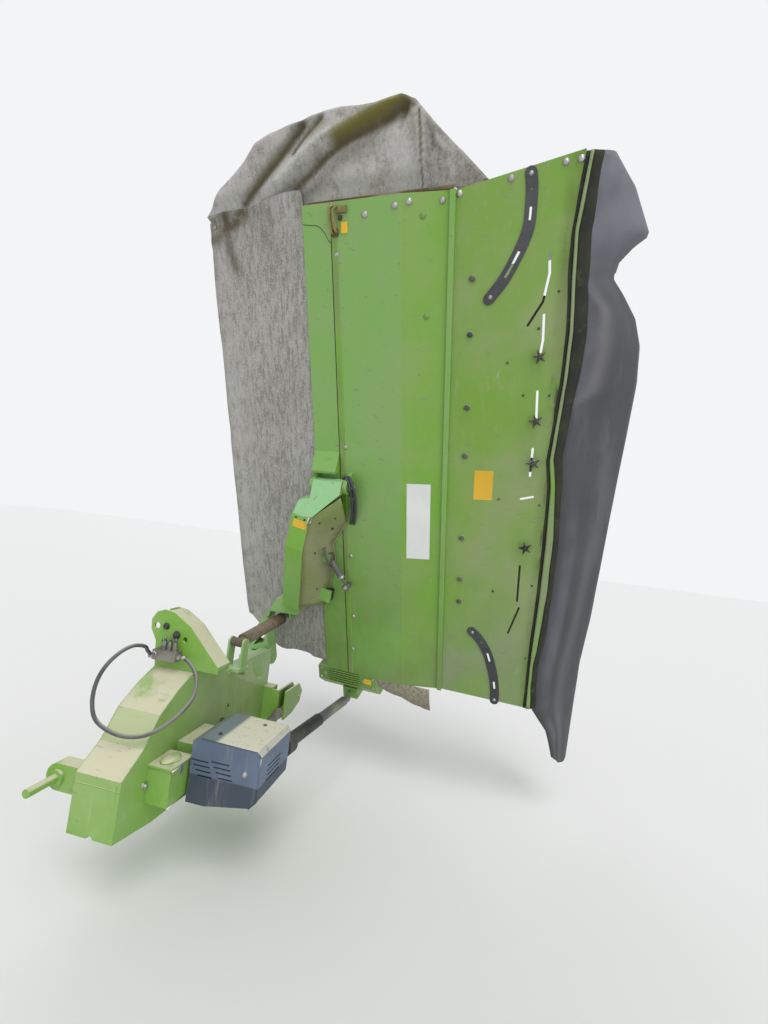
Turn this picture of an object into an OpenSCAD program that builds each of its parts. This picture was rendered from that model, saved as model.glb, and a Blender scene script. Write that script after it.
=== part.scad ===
// Rear-mounted disc mower conditioner, folded up for the road. Millimetres.
// The machine is seen from behind: +X right, +Y forward, +Z up.
// The origin is the middle of the left lower-link pin.

/* [Three-point hitch] */
// Distance between the shoulders of the two lower-link pins
link_shoulders = 965; // [800:1:1000]
// Length of a lower-link pin outside its shoulder
link_pin_len = 137.5; // [100:0.5:180]
// Diameter of a lower-link pin
link_pin_d = 36.6; // [28:0.1:38]
// Height of the top-link hole over the lower-link pins
mast_height = 610; // [500:1:700]
// Diameter of the top-link hole
top_pin_d = 32; // [20:0.5:40]

/* [Headstock] */
// Width of the swan-neck beam, front to rear
beam_w = 225; // [150:1:300]
// Wall of the swan-neck beam
beam_wall = 8; // [5:0.5:12]
// Distance from the lower-link pins back to the beam
beam_setback = 115; // [90:1:160]
// Gap between the two mast plates
mast_gap = 96; // [70:1:120]
// Thickness of a mast plate
mast_plate = 12; // [8:1:20]
// Height of the power take-off shaft over the lower-link pins
pto_z = -20; // [-60:1:40]
// Diameter of the power take-off stub
pto_d = 34.9; // [30:0.1:45]

/* [Fold] */
// Lean of the folded mower past upright
lean = 21.8; // [0:0.1:30]
// Turn of the mower away from square to the headstock
slew = 8.3; // [0:0.1:15]
// Fold axis to the right of the machine's centre line
fold_x = 1030; // [950:1:1100]
// Fold axis behind the lower-link pins
fold_y = 227; // [200:1:260]
// Fold axis above the lower-link pins
fold_z = 238; // [220:1:260]
// Radius of the fold hinge's barrel
fold_barrel_r = 48; // [40:1:60]
// Diameter of the fold hinge's pin
fold_pin_d = 40; // [30:1:50]

/* [Mower] */
// Length of the hood along the cutter bar
hood_len = 2865; // [2600:1:3200]
// Sheet of the hood
hood_sheet = 4; // [3:0.5:6]
// Depth of the mower from hood top to skids
mower_h = 987; // [900:1:1050]
// Number of cutting discs
disc_count = 7; // [7:1:7]
// Distance between neighbouring discs
disc_pitch = 392; // [380:1:410]
// Radius of a disc at its long ends
disc_r = 178; // [150:1:190]
// Radius swept by the knives
knife_r = 232; // [200:1:235]
// Radius of the conditioner tube
rotor_tube_r = 90; // [60:1:110]
// Radius swept by the tines
tine_r = 262; // [220:1:280]
// Number of tines in a row
tines_per_row = 18; // [10:1:24]

/* [Arm] */
// Width of the arm's box
arm_w = 120; // [90:1:150]
// Diameter of the pendulum pin
pendulum_pin_d = 44; // [30:1:50]
// Pendulum pin along the hood from its inner end
pendulum_u = 1360; // [1300:1:1420]

/* [Hidden] */
$fn = 48;
fit = 0.05; // radial clearance of a pin in its bore
side_gap = 2; // clearance between hinge cheeks
touch = 0.3; // clearance between bodies that rest on each other

// Centre line of the headstock, seen from the origin
link_x = link_shoulders / 2 + link_pin_len / 2;
beam_front = -beam_setback;
beam_rear = beam_front - beam_w;

// Fold axis in the mower's own axes: u along the bed outwards, v forward, w up when mowing
fold_u = 43;
fold_v = 1282;
fold_w = 81;

// Paint and material colours
lime = [0.42, 0.62, 0.20];
pale_lime = [0.55, 0.74, 0.42];
guard_blue = [0.30, 0.32, 0.38];
steel = [0.55, 0.55, 0.56];
rust = [0.40, 0.28, 0.20];
black_rubber = [0.16, 0.16, 0.17];
tarp_grey = [0.62, 0.59, 0.54];

// Placing helpers
module on_centre() translate([link_x, 0, 0]) children();
module on_unit() on_centre() translate([fold_x, -fold_y, fold_z]) rotate([0, 0, -slew])
    rotate([0, -(90 + lean), 0]) translate([-fold_u, -fold_v, -fold_w]) children();
// A section in (y, z) drawn along x
module along_x(len) rotate([90, 0, 90]) linear_extrude(len) children();
// A section in (x, z) drawn along y
module along_y(len) translate([0, len, 0]) rotate([90, 0, 0]) linear_extrude(len) children();
// Round bars
module bar_x(r, len) rotate([0, 90, 0]) cylinder(r = r, h = len);
module bar_y(r, len) rotate([-90, 0, 0]) cylinder(r = r, h = len);

// An outline moved inwards by t, with mitred corners; the outline runs clockwise
function cross2(a, b) = a.x * b.y - a.y * b.x;
function unit2(a) = a / norm(a);
function inward(a, b, t) = let (d = unit2(b - a)) [d.y, -d.x] * t;
function corner(a, b, c, t) =
    let (p = a + inward(a, b, t), d = b - a, q = b + inward(b, c, t), e = c - b)
    p + d * cross2(q - p, e) / cross2(d, e);
function inset(pts, t) = [for (i = [0 : len(pts) - 1])
    corner(pts[(i + len(pts) - 1) % len(pts)], pts[i], pts[(i + 1) % len(pts)], t)];

// Headstock

// Swan-neck side view, clockwise: columns x, z
beam_crown = [[-500, 63], [-382, 151], [-293, 274], [-175, 354], [36, 449], [231, 359], [477, 225], [821, 99]];
beam_end_x = 860;
beam_end_top = 84;
beam_end_bottom = -254;
beam_outline = concat(beam_crown, [[beam_end_x, beam_end_top], [beam_end_x, beam_end_bottom],
    [20, -243], [-255, -230], [-506, -191]]);
tunnel_r = 95;

module main_beam() color(lime) on_centre() difference() {
    translate([0, beam_rear, 0]) along_y(beam_w) polygon(beam_outline);
    translate([0, beam_rear + beam_wall, 0]) along_y(beam_w - 2 * beam_wall) polygon(inset(beam_outline, beam_wall));
    translate([0, beam_rear - 1, pto_z]) bar_y(tunnel_r, beam_w + 2);
    // drain notch in the lower edge of the end face
    translate([-520, (beam_front + beam_rear) / 2, -193]) bar_x(16, 60);
}

// Mast plates seen from the side, clockwise: columns y, z
mast_y = -98;
mast_foot_z = 430;
mast_outline = [[beam_front, mast_foot_z - 50], [-100, mast_height - 77], [-66, mast_height - 20],
    [-62, mast_height + 30], [-88, mast_height + 70], [-130, mast_height + 86], [-188, mast_height + 78],
    [-290, mast_height + 20], [-400, mast_height - 90], [-468, mast_height - 156], [-468, mast_height - 190],
    [beam_rear, mast_height - 190], [beam_rear, mast_foot_z - 50]];
mast_holes = [[-98, 0], [-152, 4], [-217, -31], [-266, -49], [-148, -74]];

module mast_plate_at(x) translate([x, 0, 0]) along_x(mast_plate) difference() {
    polygon(mast_outline);
    for (h = mast_holes) translate([h[0], mast_height + h[1]]) circle(d = h[0] == mast_y ? top_pin_d : 26);
}

module mast() color(lime) on_centre() difference() {
    union() {
        mast_plate_at(-mast_gap / 2 - mast_plate);
        mast_plate_at(mast_gap / 2);
        // curved flange over the rear edges
        translate([-mast_gap / 2, 0, 0]) along_x(mast_gap) polygon([[-150, mast_height + 82],
            [-188, mast_height + 78], [-290, mast_height + 20], [-400, mast_height - 90], [-468, mast_height - 156],
            [-468, mast_height - 172], [-386, mast_height - 92], [-284, mast_height + 6], [-186, mast_height + 64],
            [-150, mast_height + 68]]);
    }
    // the plates stand on the beam
    translate([0, beam_rear - 0.02, 0]) along_y(beam_w + 0.04) polygon(beam_outline);
}

module link_bracket(side) color(lime) on_centre() mirror([side > 0 ? 1 : 0, 0, 0]) {
    shoulder = link_shoulders / 2;
    translate([-shoulder + 14, 0, 0]) {
        translate([0, beam_front, -58]) cube([70, -beam_front, 116]);
        bar_x(58, 70);
        translate([-14, 0, 0]) bar_x(34, 20);
    }
    translate([-shoulder - link_pin_len, 0, 0]) bar_x(link_pin_d / 2, link_pin_len + 5);
}
module link_bracket_left() link_bracket(-1);
module link_bracket_right() link_bracket(1);

pto_stub = 75;
joint_r = 26; // knuckles of the drive shaft
guard_front = -467;
guard_x0 = -200;
guard_x1 = 150;
guard_rear = -817;
guard_top = 168;
guard_low = -95;
shaft_v = 655; // plane of the drive shaft in the mower's axes
shaft_back = [-747.2, shaft_v - fold_v]; // root of the shaft from the fold axis
shaft_root = [fold_x + cos(slew) * shaft_back.x + sin(slew) * shaft_back.y,
    -fold_y - sin(slew) * shaft_back.x + cos(slew) * shaft_back.y, 0];

module gearbox() color(steel) on_centre() {
    // case between the beam and the guard
    translate([-120, guard_front, pto_z - 110]) cube([240, beam_rear - guard_front, 220]);
    // bearing tube through the beam, and the stub shaft
    translate([0, beam_rear, pto_z]) bar_y(52, beam_w - 20);
    translate([0, beam_rear + beam_w - 20, pto_z]) bar_y(pto_d / 2, pto_stub);
    // output stub out of the guard's side
    translate([guard_x1, shaft_root.y, shaft_root.z]) bar_x(30, shaft_root.x - joint_r - touch - guard_x1);
}

module drive_guard() color(guard_blue) on_centre() difference() {
    translate([guard_x0, 0, 0]) along_x(guard_x1 - guard_x0) polygon([[guard_front, guard_low - 40], [guard_front, 150],
        [guard_front - 40, guard_top], [guard_rear + 20, guard_top - 6], [guard_rear, guard_top - 30],
        [guard_rear, guard_low + 30], [guard_rear + 30, guard_low], [-560, guard_low - 40]]);
    // four vents in the left face, split by a post
    for (i = [0 : 3], j = [0, 1]) translate([guard_x0 - 1, -560 - j * 105 - i * 8, 60 - i * 22 + j * 8])
        cube([12, 92 - i * 6, 8]);
    // vents in the rear face
    for (i = [0 : 3]) translate([guard_x0 + 90, guard_rear - 1, 60 - i * 22]) cube([150, 12, 8]);
}

module tool_box() color(lime) on_centre() {
    box_front = beam_rear;
    translate([-330, box_front - 115, -105]) cube([150, 115, 165]);
    translate([-338, box_front - 123, 60]) cube([166, 123, 10]);
    translate([-255, box_front - 60, 70]) cylinder(r = 42, h = 6);
}

valve_x = -mast_gap / 2 - mast_plate;
module valve_block() color(steel) on_centre() {
    translate([valve_x - 58, -260, 455]) cube([58, 130, 50]);
    for (y = [-235, -205, -175]) translate([valve_x - 30, y, 505]) cylinder(r = 11, h = 26);
}

// Hydraulic hose from the valve block round over the beam and back: columns x, y, z
hose_r = 9;
hose_route = [[valve_x - 61, -150, 485], [-150, -150, 488], [-195, -158, 518], [-240, -172, 550], [-310, -165, 566], [-370, -145, 545],
    [-415, -118, 490], [-437, -100, 420], [-448, -102, 340], [-450, -130, 270], [-440, -195, 228], [-420, -272, 210],
    [-390, -345, 220], [-340, -400, 255], [-270, -432, 300], [-205, -440, 350], [-155, -415, 410], [-122, -365, 455],
    [-96, -300, 480], [-95, -261.5, 480]];
function spline(p, i, t) = let (a = p[max(i - 1, 0)], b = p[i], c = p[i + 1], d = p[min(i + 2, len(p) - 1)])
    0.5 * (2 * b + (c - a) * t + (2 * a - 5 * b + 4 * c - d) * t * t + (3 * b - a - 3 * c + d) * t * t * t);
function smooth(p, n) = concat([for (i = [0 : len(p) - 2], k = [0 : n - 1]) spline(p, i, k / n)], [p[len(p) - 1]]);
function unit3(a) = a / norm(a);
function frames(p, i, up) = i >= len(p) ? [] :
    let (d = unit3(p[min(i + 1, len(p) - 1)] - p[max(i - 1, 0)]), s = unit3(cross(d, up)), n = cross(s, d))
    concat([[s, n]], frames(p, i + 1, n));
module swept_tube(p, r, sides) {
    f = frames(p, 0, [0, 0, 1]);
    n = len(p);
    polyhedron([for (i = [0 : n - 1], k = [0 : sides - 1])
            p[i] + r * (cos(360 * k / sides) * f[i][0] + sin(360 * k / sides) * f[i][1])],
        concat([[for (k = [0 : sides - 1]) k]],
            [for (i = [0 : n - 2], k = [0 : sides - 1]) let (a = i * sides, b = (k + 1) % sides)
                [a + k, a + sides + k, a + sides + b, a + b]],
            [[for (k = [sides - 1 : -1 : 0]) (n - 1) * sides + k]]));
}
module hose() color(black_rubber) on_centre() swept_tube(smooth(hose_route, 3), hose_r, 8);

// Hinge casting on the beam: columns x, z
casting_y0 = -330;
casting_y1 = -262;
casting_top = 323;
module hinge_casting() color(pale_lime) {
    on_centre() difference() {
        union() {
            translate([0, casting_y0, 0]) along_y(casting_y1 - casting_y0) polygon([[231, 359], [330, casting_top],
                [900, casting_top], [925, 280], [925, 80], [858, 80], [821, 60], [477, 180]]);
            translate([800, casting_y1, 80]) cube([125, 110, 200]);
            fold_cylinder_ears();
        }
        for (w = [[[400, 300], [520, 300], [560, 235], [500, 245]], [[600, 300], [760, 300], [830, 150], [760, 150]]])
            translate([0, casting_y0 - 1, 0]) along_y(casting_y1 - casting_y0 + 2) polygon(w);
        translate([0, beam_rear - 1, 0]) along_y(beam_w + 2) polygon(beam_outline);
    }
    // neck, barrel and pin between the ears of the arm
    on_centre() fold_frame() {
        translate([-150, -barrel_half + 5, -80]) cube([150, 2 * barrel_half - 10, 120]);
        translate([0, -barrel_half, 0]) bar_y(fold_barrel_r, 2 * barrel_half);
        translate([0, -pin_half, 0]) bar_y(fold_pin_d / 2, 2 * pin_half);
    }
}
barrel_half = 52;
ear_t = 30;
pin_half = barrel_half + side_gap + ear_t + 6;
// The fold axis lies along y here, and x runs outwards
module fold_frame() translate([fold_x, -fold_y, fold_z]) rotate([0, 0, -slew]) children();

cyl_v = fold_v - 192; // plane of the fold cylinder in the mower's axes
cyl_base = [-600, 230]; // from the fold axis, in its plane: columns x, z
cyl_lug = [370, 5]; // on the arm: columns u, w
cyl_r = 38;
cyl_rod_r = 19;
cyl_eye_r = 30;
cyl_ear_gap = 84; // on the casting
rod_ear_gap = 44; // on the arm
cyl_ear_t = 12;
cyl_turn = 10.5;
cyl_closed = 558;
module fold_cylinder_ears() fold_frame() {
    translate([cyl_base[0] - 55, cyl_v - fold_v - cyl_ear_gap / 2 - cyl_ear_t - 5, casting_top - fold_z - 16])
        cube([110, cyl_ear_gap + 2 * cyl_ear_t + 10, 20]);
    for (s = [-1, 1]) translate([cyl_base[0], cyl_v - fold_v + s * (cyl_ear_gap + cyl_ear_t) / 2 - cyl_ear_t / 2, 0]) {
        translate([-cyl_eye_r, 0, casting_top - fold_z]) cube([2 * cyl_eye_r, cyl_ear_t, cyl_base[1] - casting_top + fold_z]);
        translate([0, 0, cyl_base[1]]) bar_y(cyl_eye_r, cyl_ear_t);
    }
}

module kingpin() color(steel) on_centre() {
    translate([975, -fold_y, -270]) cylinder(r = 16, h = 400);
    translate([975, -fold_y, 130]) cylinder(r = 26, h = 16, $fn = 6);
}

console_x0 = beam_end_x;
strut_y = -471;
strut_eye = [1118, -33]; // columns x, z
strut_pin_r = 12;
module console() color(lime) on_centre() difference() {
    union() {
        translate([console_x0, -400, -254]) cube([85, 400 + beam_front, 30]);
        translate([console_x0, -400, 50]) cube([85, 400 + beam_front, 30]);
        translate([console_x0, -400, -254]) cube([12, 400 + beam_front, 334]);
        translate([console_x0 + 80, -262, -254]) cube([70, 70, 30]);
        translate([console_x0 + 80, -262, 50]) cube([70, 70, 30]);
        for (y = [strut_y - 33, strut_y + 19]) translate([0, y, 0]) along_y(14) polygon([[console_x0 + 5, -120],
            [console_x0 + 5, 70], [1110, 60], [1180, -10], [1150, -80], [1010, -120]]);
        translate([console_x0, strut_y + 19, -120]) cube([12, 55, 190]);
        translate([900, strut_y - 33, -120]) cube([100, 66, 12]);
        // pin of the stay strut
        translate([strut_eye.x, strut_y - 40, strut_eye.y]) bar_y(strut_pin_r, 80);
    }
    translate([975, -fold_y, -300]) cylinder(r = 16 + touch, h = 500);
}

module stay_strut() color(guard_blue) on_centre() difference() {
    union() {
        // lug on the rear face of the beam
        translate([430, strut_y - 8, -150]) cube([60, beam_rear - strut_y + 8, 60]);
        translate([460, strut_y, -120]) rotate([0, 82.5, 0]) {
            cylinder(r = 28, h = 370);
            translate([0, 0, 360]) cylinder(r = 33, h = 25);
            translate([0, 0, 360]) cylinder(r = 17, h = 300);
        }
        translate([strut_eye.x, strut_y - 14, strut_eye.y]) bar_y(30, 28);
    }
    translate([strut_eye.x, strut_y - 20, strut_eye.y]) bar_y(strut_pin_r + fit, 40);
}

// Arm

arm_turn = 13.2; // the arm runs from the hinge back to the middle of the hood
arm_root = [370, fold_v - 272];
arm_start = 150;
arm_end = 850;
// Arm side view, clockwise: columns along the arm, w
arm_side = [[arm_start, 33], [arm_start, 150], [330, 180], [640, 232], [arm_end, 205], [arm_end, 62], [640, 70], [330, 45]];
module in_arm() on_unit() translate([arm_root[0], arm_root[1], 0]) rotate([0, 0, -arm_turn]) children();
function arm_point(s, t) = [arm_root[0] + s * cos(arm_turn) + t * sin(arm_turn),
    arm_root[1] - s * sin(arm_turn) + t * cos(arm_turn)];

buffer_top = 45;
module fold_arm() color(lime) in_arm() {
    difference() {
        translate([0, -arm_w / 2, 0]) along_y(arm_w) polygon(arm_side);
        translate([0, -arm_w / 2 + 8, 0]) along_y(arm_w - 16) polygon(inset(arm_side, 8));
    }
    // carriers of the buffer and of the latch cylinder
    translate([240, -228, buffer_top]) cube([90, 176, 12]);
    translate([545, -190, 80]) cube([55, 138, 12]);
}

foot_w0 = 33;
foot_w1 = 129;
module arm_foot() color(pale_lime) on_unit() difference() {
    union() {
        translate([0, 0, foot_w0]) linear_extrude(foot_w1 - foot_w0) polygon([[fold_u, fold_v - pin_half + 6],
            [fold_u, fold_v + pin_half - 6], [190, fold_v + pin_half - 6], [560, cyl_v],
            arm_point(arm_start, arm_w / 2), arm_point(arm_start, -arm_w / 2), [462, fold_v - 342], [455, fold_v - 132],
            [330, fold_v - 84]]);
        for (s = [-1, 1]) translate([fold_u, fold_v + s * (barrel_half + side_gap + ear_t / 2) - ear_t / 2, fold_w])
            bar_y(fold_barrel_r, ear_t);
        // ears for the rod of the fold cylinder
        for (s = [-1, 1]) translate([0, cyl_v + s * (rod_ear_gap + cyl_ear_t) / 2 - cyl_ear_t / 2, 0]) {
            translate([cyl_lug[0], 0, cyl_lug[1] - 28]) cube([110, cyl_ear_t, 60]);
            translate([cyl_lug[0], 0, cyl_lug[1]]) bar_y(cyl_eye_r, cyl_ear_t);
        }
    }
    // room for the barrel
    translate([fold_u - 100, fold_v - barrel_half - side_gap, fold_w - 100])
        cube([100 + fold_barrel_r + 24, 2 * (barrel_half + side_gap), 200]);
    // pin bores
    translate([fold_u, fold_v - pin_half - 1, fold_w]) bar_y(fold_pin_d / 2 + fit, 2 * pin_half + 2);
    // windows of the casting
    translate([0, 0, foot_w0 - 1]) linear_extrude(foot_w1 - foot_w0 + 2) polygon([[150, fold_v + 40],
        [330, fold_v - 82], [175, fold_v - 47]]);
    translate([0, 0, foot_w0 - 1]) linear_extrude(foot_w1 - foot_w0 + 2) polygon([[395, fold_v - 132],
        [440, fold_v - 172], [400, fold_v - 92]]);
}

cheek_t = 25;
barrel_v0 = 587;
barrel_v1 = 778;
pendulum_w = 55;
head_barrel_r = 40;
module arm_head() color(pale_lime) on_unit() difference() {
    union() {
        intersection() {
            translate([0, 500, 0]) along_y(400) polygon([[1100, 66], [1100, 212], [1200, 203], [1320, 140], [1400, 96],
                [1400, 30], [1330, 30], [1200, 62]]);
            linear_extrude(400) polygon([arm_point(arm_end + 0.05, -arm_w / 2), arm_point(arm_end + 0.05, arm_w / 2), [1285, 850],
                [1300, barrel_v1], [1400, barrel_v1], [1400, barrel_v0], [1330, barrel_v0]]);
        }
        translate([pendulum_u, barrel_v0, pendulum_w]) bar_y(head_barrel_r, barrel_v1 - barrel_v0);
    }
    translate([pendulum_u, barrel_v0 - 1, pendulum_w]) bar_y(pendulum_pin_d / 2 + fit, barrel_v1 - barrel_v0 + 2);
}

// Rubber buffer under the arm, where the folded mower rests
module buffer() color(black_rubber) in_arm() translate([245, -225, touch]) cube([80, 75, buffer_top - touch]);

module latch_cylinder() color(guard_blue) in_arm() translate([570, -170, 60]) rotate([0, 0, -134]) {
    bar_x(20, 150);
    translate([150, 0, 0]) bar_x(9, 70);
    translate([-8, -14, -20]) cube([28, 28, 40]);
}

// Fold cylinder, on the root's side of the fold axis
module cyl_frame() on_centre() fold_frame() translate([cyl_base[0], cyl_v - fold_v, cyl_base[1]])
    rotate([0, -cyl_turn, 0]) children();
cyl_barrel_len = 470;
module fold_cylinder_barrel() color(rust) cyl_frame() difference() {
    union() {
        translate([0, -cyl_ear_gap / 2 + 1, 0]) bar_y(cyl_eye_r - 4, cyl_ear_gap - 2);
        translate([0, 0, 0]) bar_x(24, 60);
        translate([40, 0, 0]) bar_x(cyl_r, cyl_barrel_len - 40);
    }
    translate([60, 0, 0]) bar_x(cyl_rod_r + 1, cyl_barrel_len);
}
module fold_cylinder_rod() color(steel) cyl_frame() {
    translate([80, 0, 0]) bar_x(cyl_rod_r, cyl_closed - 80);
    translate([cyl_closed, -rod_ear_gap / 2 + 2, 0]) bar_y(cyl_eye_r - 3, rod_ear_gap - 4);
}

// Drive shaft from the guard to the mower's inner gearbox
shaft_len = 905;
shaft_tilt = 1.5;
module shaft_frame() on_centre() translate(shaft_root) rotate([0, 0, -slew]) rotate([0, -shaft_tilt, 0]) children();
// Half of a ball's outline about [0, x]: columns r, x
function ball(x, r, a0, a1) = [for (i = [0 : 8]) let (a = a0 + (a1 - a0) * i / 8) [r * sin(a), x + r * cos(a)]];
neck_a = asin(20 / joint_r);
module drive_shaft_tube() color(black_rubber) shaft_frame() {
    rotate([0, 90, 0]) rotate_extrude() polygon(concat(ball(0, joint_r, 180, neck_a), [[20, 38], [60, 42],
        [60, 112], [38, 116], [38, 470], [31.5, 470], [31.5, 60], [0, 60]]));
    // cross pin of the knuckle
    translate([0, -joint_r - 4, 0]) bar_y(9, 2 * joint_r + 8);
}
module drive_shaft_rod() color(guard_blue) shaft_frame() rotate([0, 90, 0]) rotate_extrude()
    polygon(concat([[0, 450], [31, 450], [31, 850], [20, 858]], ball(shaft_len, joint_r, 180 - neck_a, 0)));

// Mower: sections in (v, w)

strip_v0 = 641;
strip_v1 = 806;
bend_v = 249;
rib_w = -50;
rear_v = -583;
rear_w = -150;
flare_outer = 125;
flare_inner = 75;
end_t = 6;
beam_v0 = 660;
beam_v1 = 790;
hood_beam_h = 120;
ground_w = -mower_h;
rotor_v = 520;
rotor_w = -520;
rotor_shaft_r = 30;
bar_v0 = 850;
bar_w0 = -975;
bar_w1 = -915;
disc_v = 990;
first_disc = (hood_len - (disc_count - 1) * disc_pitch) / 2;

module hood_beam() color(lime) on_unit() translate([end_t, 0, 0]) along_x(hood_len - 2 * end_t) difference() {
    translate([beam_v0, -hood_sheet - hood_beam_h]) square([beam_v1 - beam_v0, hood_beam_h]);
    translate([beam_v0 + 6, -hood_sheet - hood_beam_h + 6]) square([beam_v1 - beam_v0 - 12, hood_beam_h - 12]);
}
module hood_strip() color(lime) on_unit() along_x(hood_len) polygon([[strip_v0 + 1, 0], [strip_v1, 0], [strip_v1, -40],
    [strip_v1 - hood_sheet, -40], [strip_v1 - hood_sheet, -hood_sheet], [strip_v0 + 1, -hood_sheet]]);
module hood_panel() color(lime) on_unit() along_x(hood_len) polygon([[strip_v0 - 1, 0], [strip_v0 - 1, -hood_sheet],
    [bend_v, -hood_sheet], [14, rib_w - hood_sheet + 3], [14, rib_w + 3], [bend_v, 0]]);
module hood_rib() color(pale_lime) on_unit() along_x(hood_len) translate([-14, rib_w - 12]) square([28, 30]);

// Upper face of the swath hood's roof
function roof(v) = rib_w - 3 + (v + 10) * (rear_w - rib_w + 3) / (rear_v + 8);

// Slots of the swath plates and of the two spreading arcs: columns u, v
slot_w = 12;
plate_slots = [[[2577, -462], [2484, -470], [2356, -450], [2246, -386]], [[2294, -460], [2176, -465], [2118, -459]],
    [[1921, -459], [1784, -465]], [[1618, -460], [1467, -457]], [[1332, -419], [1347, -482]],
    [[922, -443], [692, -443]], [[646, -457], [467, -405]]];
arc_slots = [[[2799, -361], [2689, -357], [2591, -324], [2466, -260]], [[398, -241], [295, -295], [151, -334],
    [38, -350]]];
module slot_through(pts) translate([0, 0, -300]) linear_extrude(300) for (i = [0 : len(pts) - 2]) hull()
    for (q = [pts[i], pts[i + 1]]) translate([q.x * hood_len / 2865, q.y]) circle(d = slot_w, $fn = 12);

// Roof of the swath hood, with a turned-down rear lip and skirts on its flared ends
module swath_plan(t) polygon([[t, -14], [hood_len - t, -14], [hood_len + flare_outer - t, rear_v + t],
    [-flare_inner + t, rear_v + t]]);
module swath_hood() color(lime) on_unit() {
    difference() {
        intersection() {
            translate([0, 0, -400]) linear_extrude(400) swath_plan(0);
            translate([-200, 0, 0]) along_x(hood_len + 400) polygon([[-10, roof(-10)], [rear_v - 2, rear_w],
                [rear_v - 2, rear_w - hood_sheet], [-10, roof(-10) - hood_sheet]]);
        }
        for (s = concat(plate_slots, arc_slots)) slot_through(s);
    }
    intersection() {
        translate([0, 0, -400]) linear_extrude(400) difference() {
            swath_plan(0);
            swath_plan(hood_sheet);
        }
        translate([-200, 0, 0]) along_x(hood_len + 400) polygon([[-14, rib_w - 6], [-14, rib_w - 110],
            [rear_v, rear_w - 50], [rear_v, rear_w - 3]]);
    }
}

module end_plate() along_x(end_t) difference() {
    polygon([[beam_v1 + 8, -hood_sheet], [bend_v, -hood_sheet], [16, rib_w - 1], [16, -330], [230, -700], [640, -850],
        [820, bar_w0], [1130, bar_w0], [1150, bar_w1], [beam_v1 + 8, -300]]);
    translate([rotor_v, rotor_w]) circle(r = rotor_shaft_r + fit);
}
module end_plate_inner() color(lime) on_unit() end_plate();
module end_plate_outer() color(lime) on_unit() translate([hood_len - end_t, 0, 0]) end_plate();

module cutter_bar() color(steel) on_unit() {
    translate([end_t, 0, 0]) along_x(hood_len - 2 * end_t) polygon([[bar_v0, bar_w0], [bar_v0, bar_w1], [1100, bar_w1],
        [1135, -935], [1135, -955], [1090, bar_w0]]);
    for (i = [0 : disc_count - 1]) translate([first_disc + i * disc_pitch, disc_v, bar_w1]) cylinder(r = 62, h = 22);
}
module skids() color(rust) on_unit() for (i = [0 : disc_count - 1])
    translate([first_disc + i * disc_pitch - 145, 0, 0]) along_x(290) polygon([[820, bar_w0], [1118, bar_w0],
        [1170, -932], [1180, -940], [1125, ground_w], [820, ground_w]]);

cheek_w = pendulum_w + 45;
module pendulum_bracket() color(lime) on_unit() {
    for (v = [barrel_v0 - side_gap - cheek_t, barrel_v1 + side_gap]) {
        translate([0, v, 0]) along_y(cheek_t) polygon([[pendulum_u - 75, 0], [pendulum_u - 42, pendulum_w + 10],
            [pendulum_u + 42, pendulum_w + 10], [pendulum_u + 75, 0]]);
        translate([pendulum_u, v, pendulum_w]) bar_y(45, cheek_t);
    }
    translate([pendulum_u, barrel_v0 - side_gap - cheek_t - 12, pendulum_w])
        bar_y(pendulum_pin_d / 2, barrel_v1 - barrel_v0 + 2 * (side_gap + cheek_t) + 24);
    // wedge beyond the head of the arm
    translate([0, strip_v0 + 1, 0]) along_y(strip_v1 - strip_v0 - 1)
        polygon([[pendulum_u + 75, 0], [pendulum_u + 75, 60], [pendulum_u + 90, 66], [pendulum_u + 200, 0]]);
}

gear_v0 = 440;
gear_v1 = 880;
gear_len = 200;
module inner_gearbox() color(lime) on_unit() {
    difference() {
        translate([0, gear_v0, 0]) along_y(gear_v1 - gear_v0) polygon([[0, -8], [-110, -8], [-gear_len, -90],
            [-gear_len, -190], [-60, -260], [0, -260]]);
        // room for the drive shaft's knuckle
        translate([-gear_len - 10, shaft_v - 37, -45]) cube([gear_len - 40, 74, 60]);
    }
    // input housing and its shaft, which ends under the knuckle
    translate([-gear_len - 50, shaft_v - 55, -150]) cube([85, 110, 105]);
    translate([-gear_len - 15, shaft_v, -60]) cylinder(r = 22, h = 36);
}

module conditioner_plate() color(lime) on_unit() translate([end_t, rotor_v, rotor_w]) rotate([90, 0, 90])
    rotate_extrude(angle = 125, start = 30, $fn = 96) translate([tine_r + 22, 0]) square([5, hood_len - 2 * end_t]);

module swath_plates() color(lime) on_unit() intersection() {
    for (s = [0, 1]) translate([s ? hood_len - 420 : 420, -60, -460]) rotate([0, 0, s ? 20 : -20])
        translate([-2, -470, 0]) cube([4, 470, 450]);
    translate([-200, 0, 0]) along_x(hood_len + 400) polygon([[-20, roof(-20) - hood_sheet - 0.5], [-20, -450],
        [-540, -420], [-540, roof(-540) - hood_sheet - 0.5]]);
}

guard_v1 = 1479;
tarp_u0 = 250;
module front_guard_frame() color(steel) on_unit() {
    translate([tarp_u0 + 10, 1460, -94]) bar_x(17, hood_len - tarp_u0 - 20);
    for (u = [tarp_u0 + 50, 0.31 * hood_len, 0.545 * hood_len, 0.768 * hood_len, hood_len - 60]) translate([u, 0, 0]) along_x(28)
        polygon([[beam_v1, -90], [beam_v1, -50], [1455, -80], [1455, -105]]);
}
module front_tarp() color(tarp_grey) on_unit() translate([tarp_u0, 0, 0]) along_x(hood_len - tarp_u0) polygon([
    [strip_v1, -12], [guard_v1, -70], [guard_v1 + 7, -76], [guard_v1 + 7, -700], [guard_v1, -700], [guard_v1, -77],
    [strip_v1, -19]]);

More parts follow.
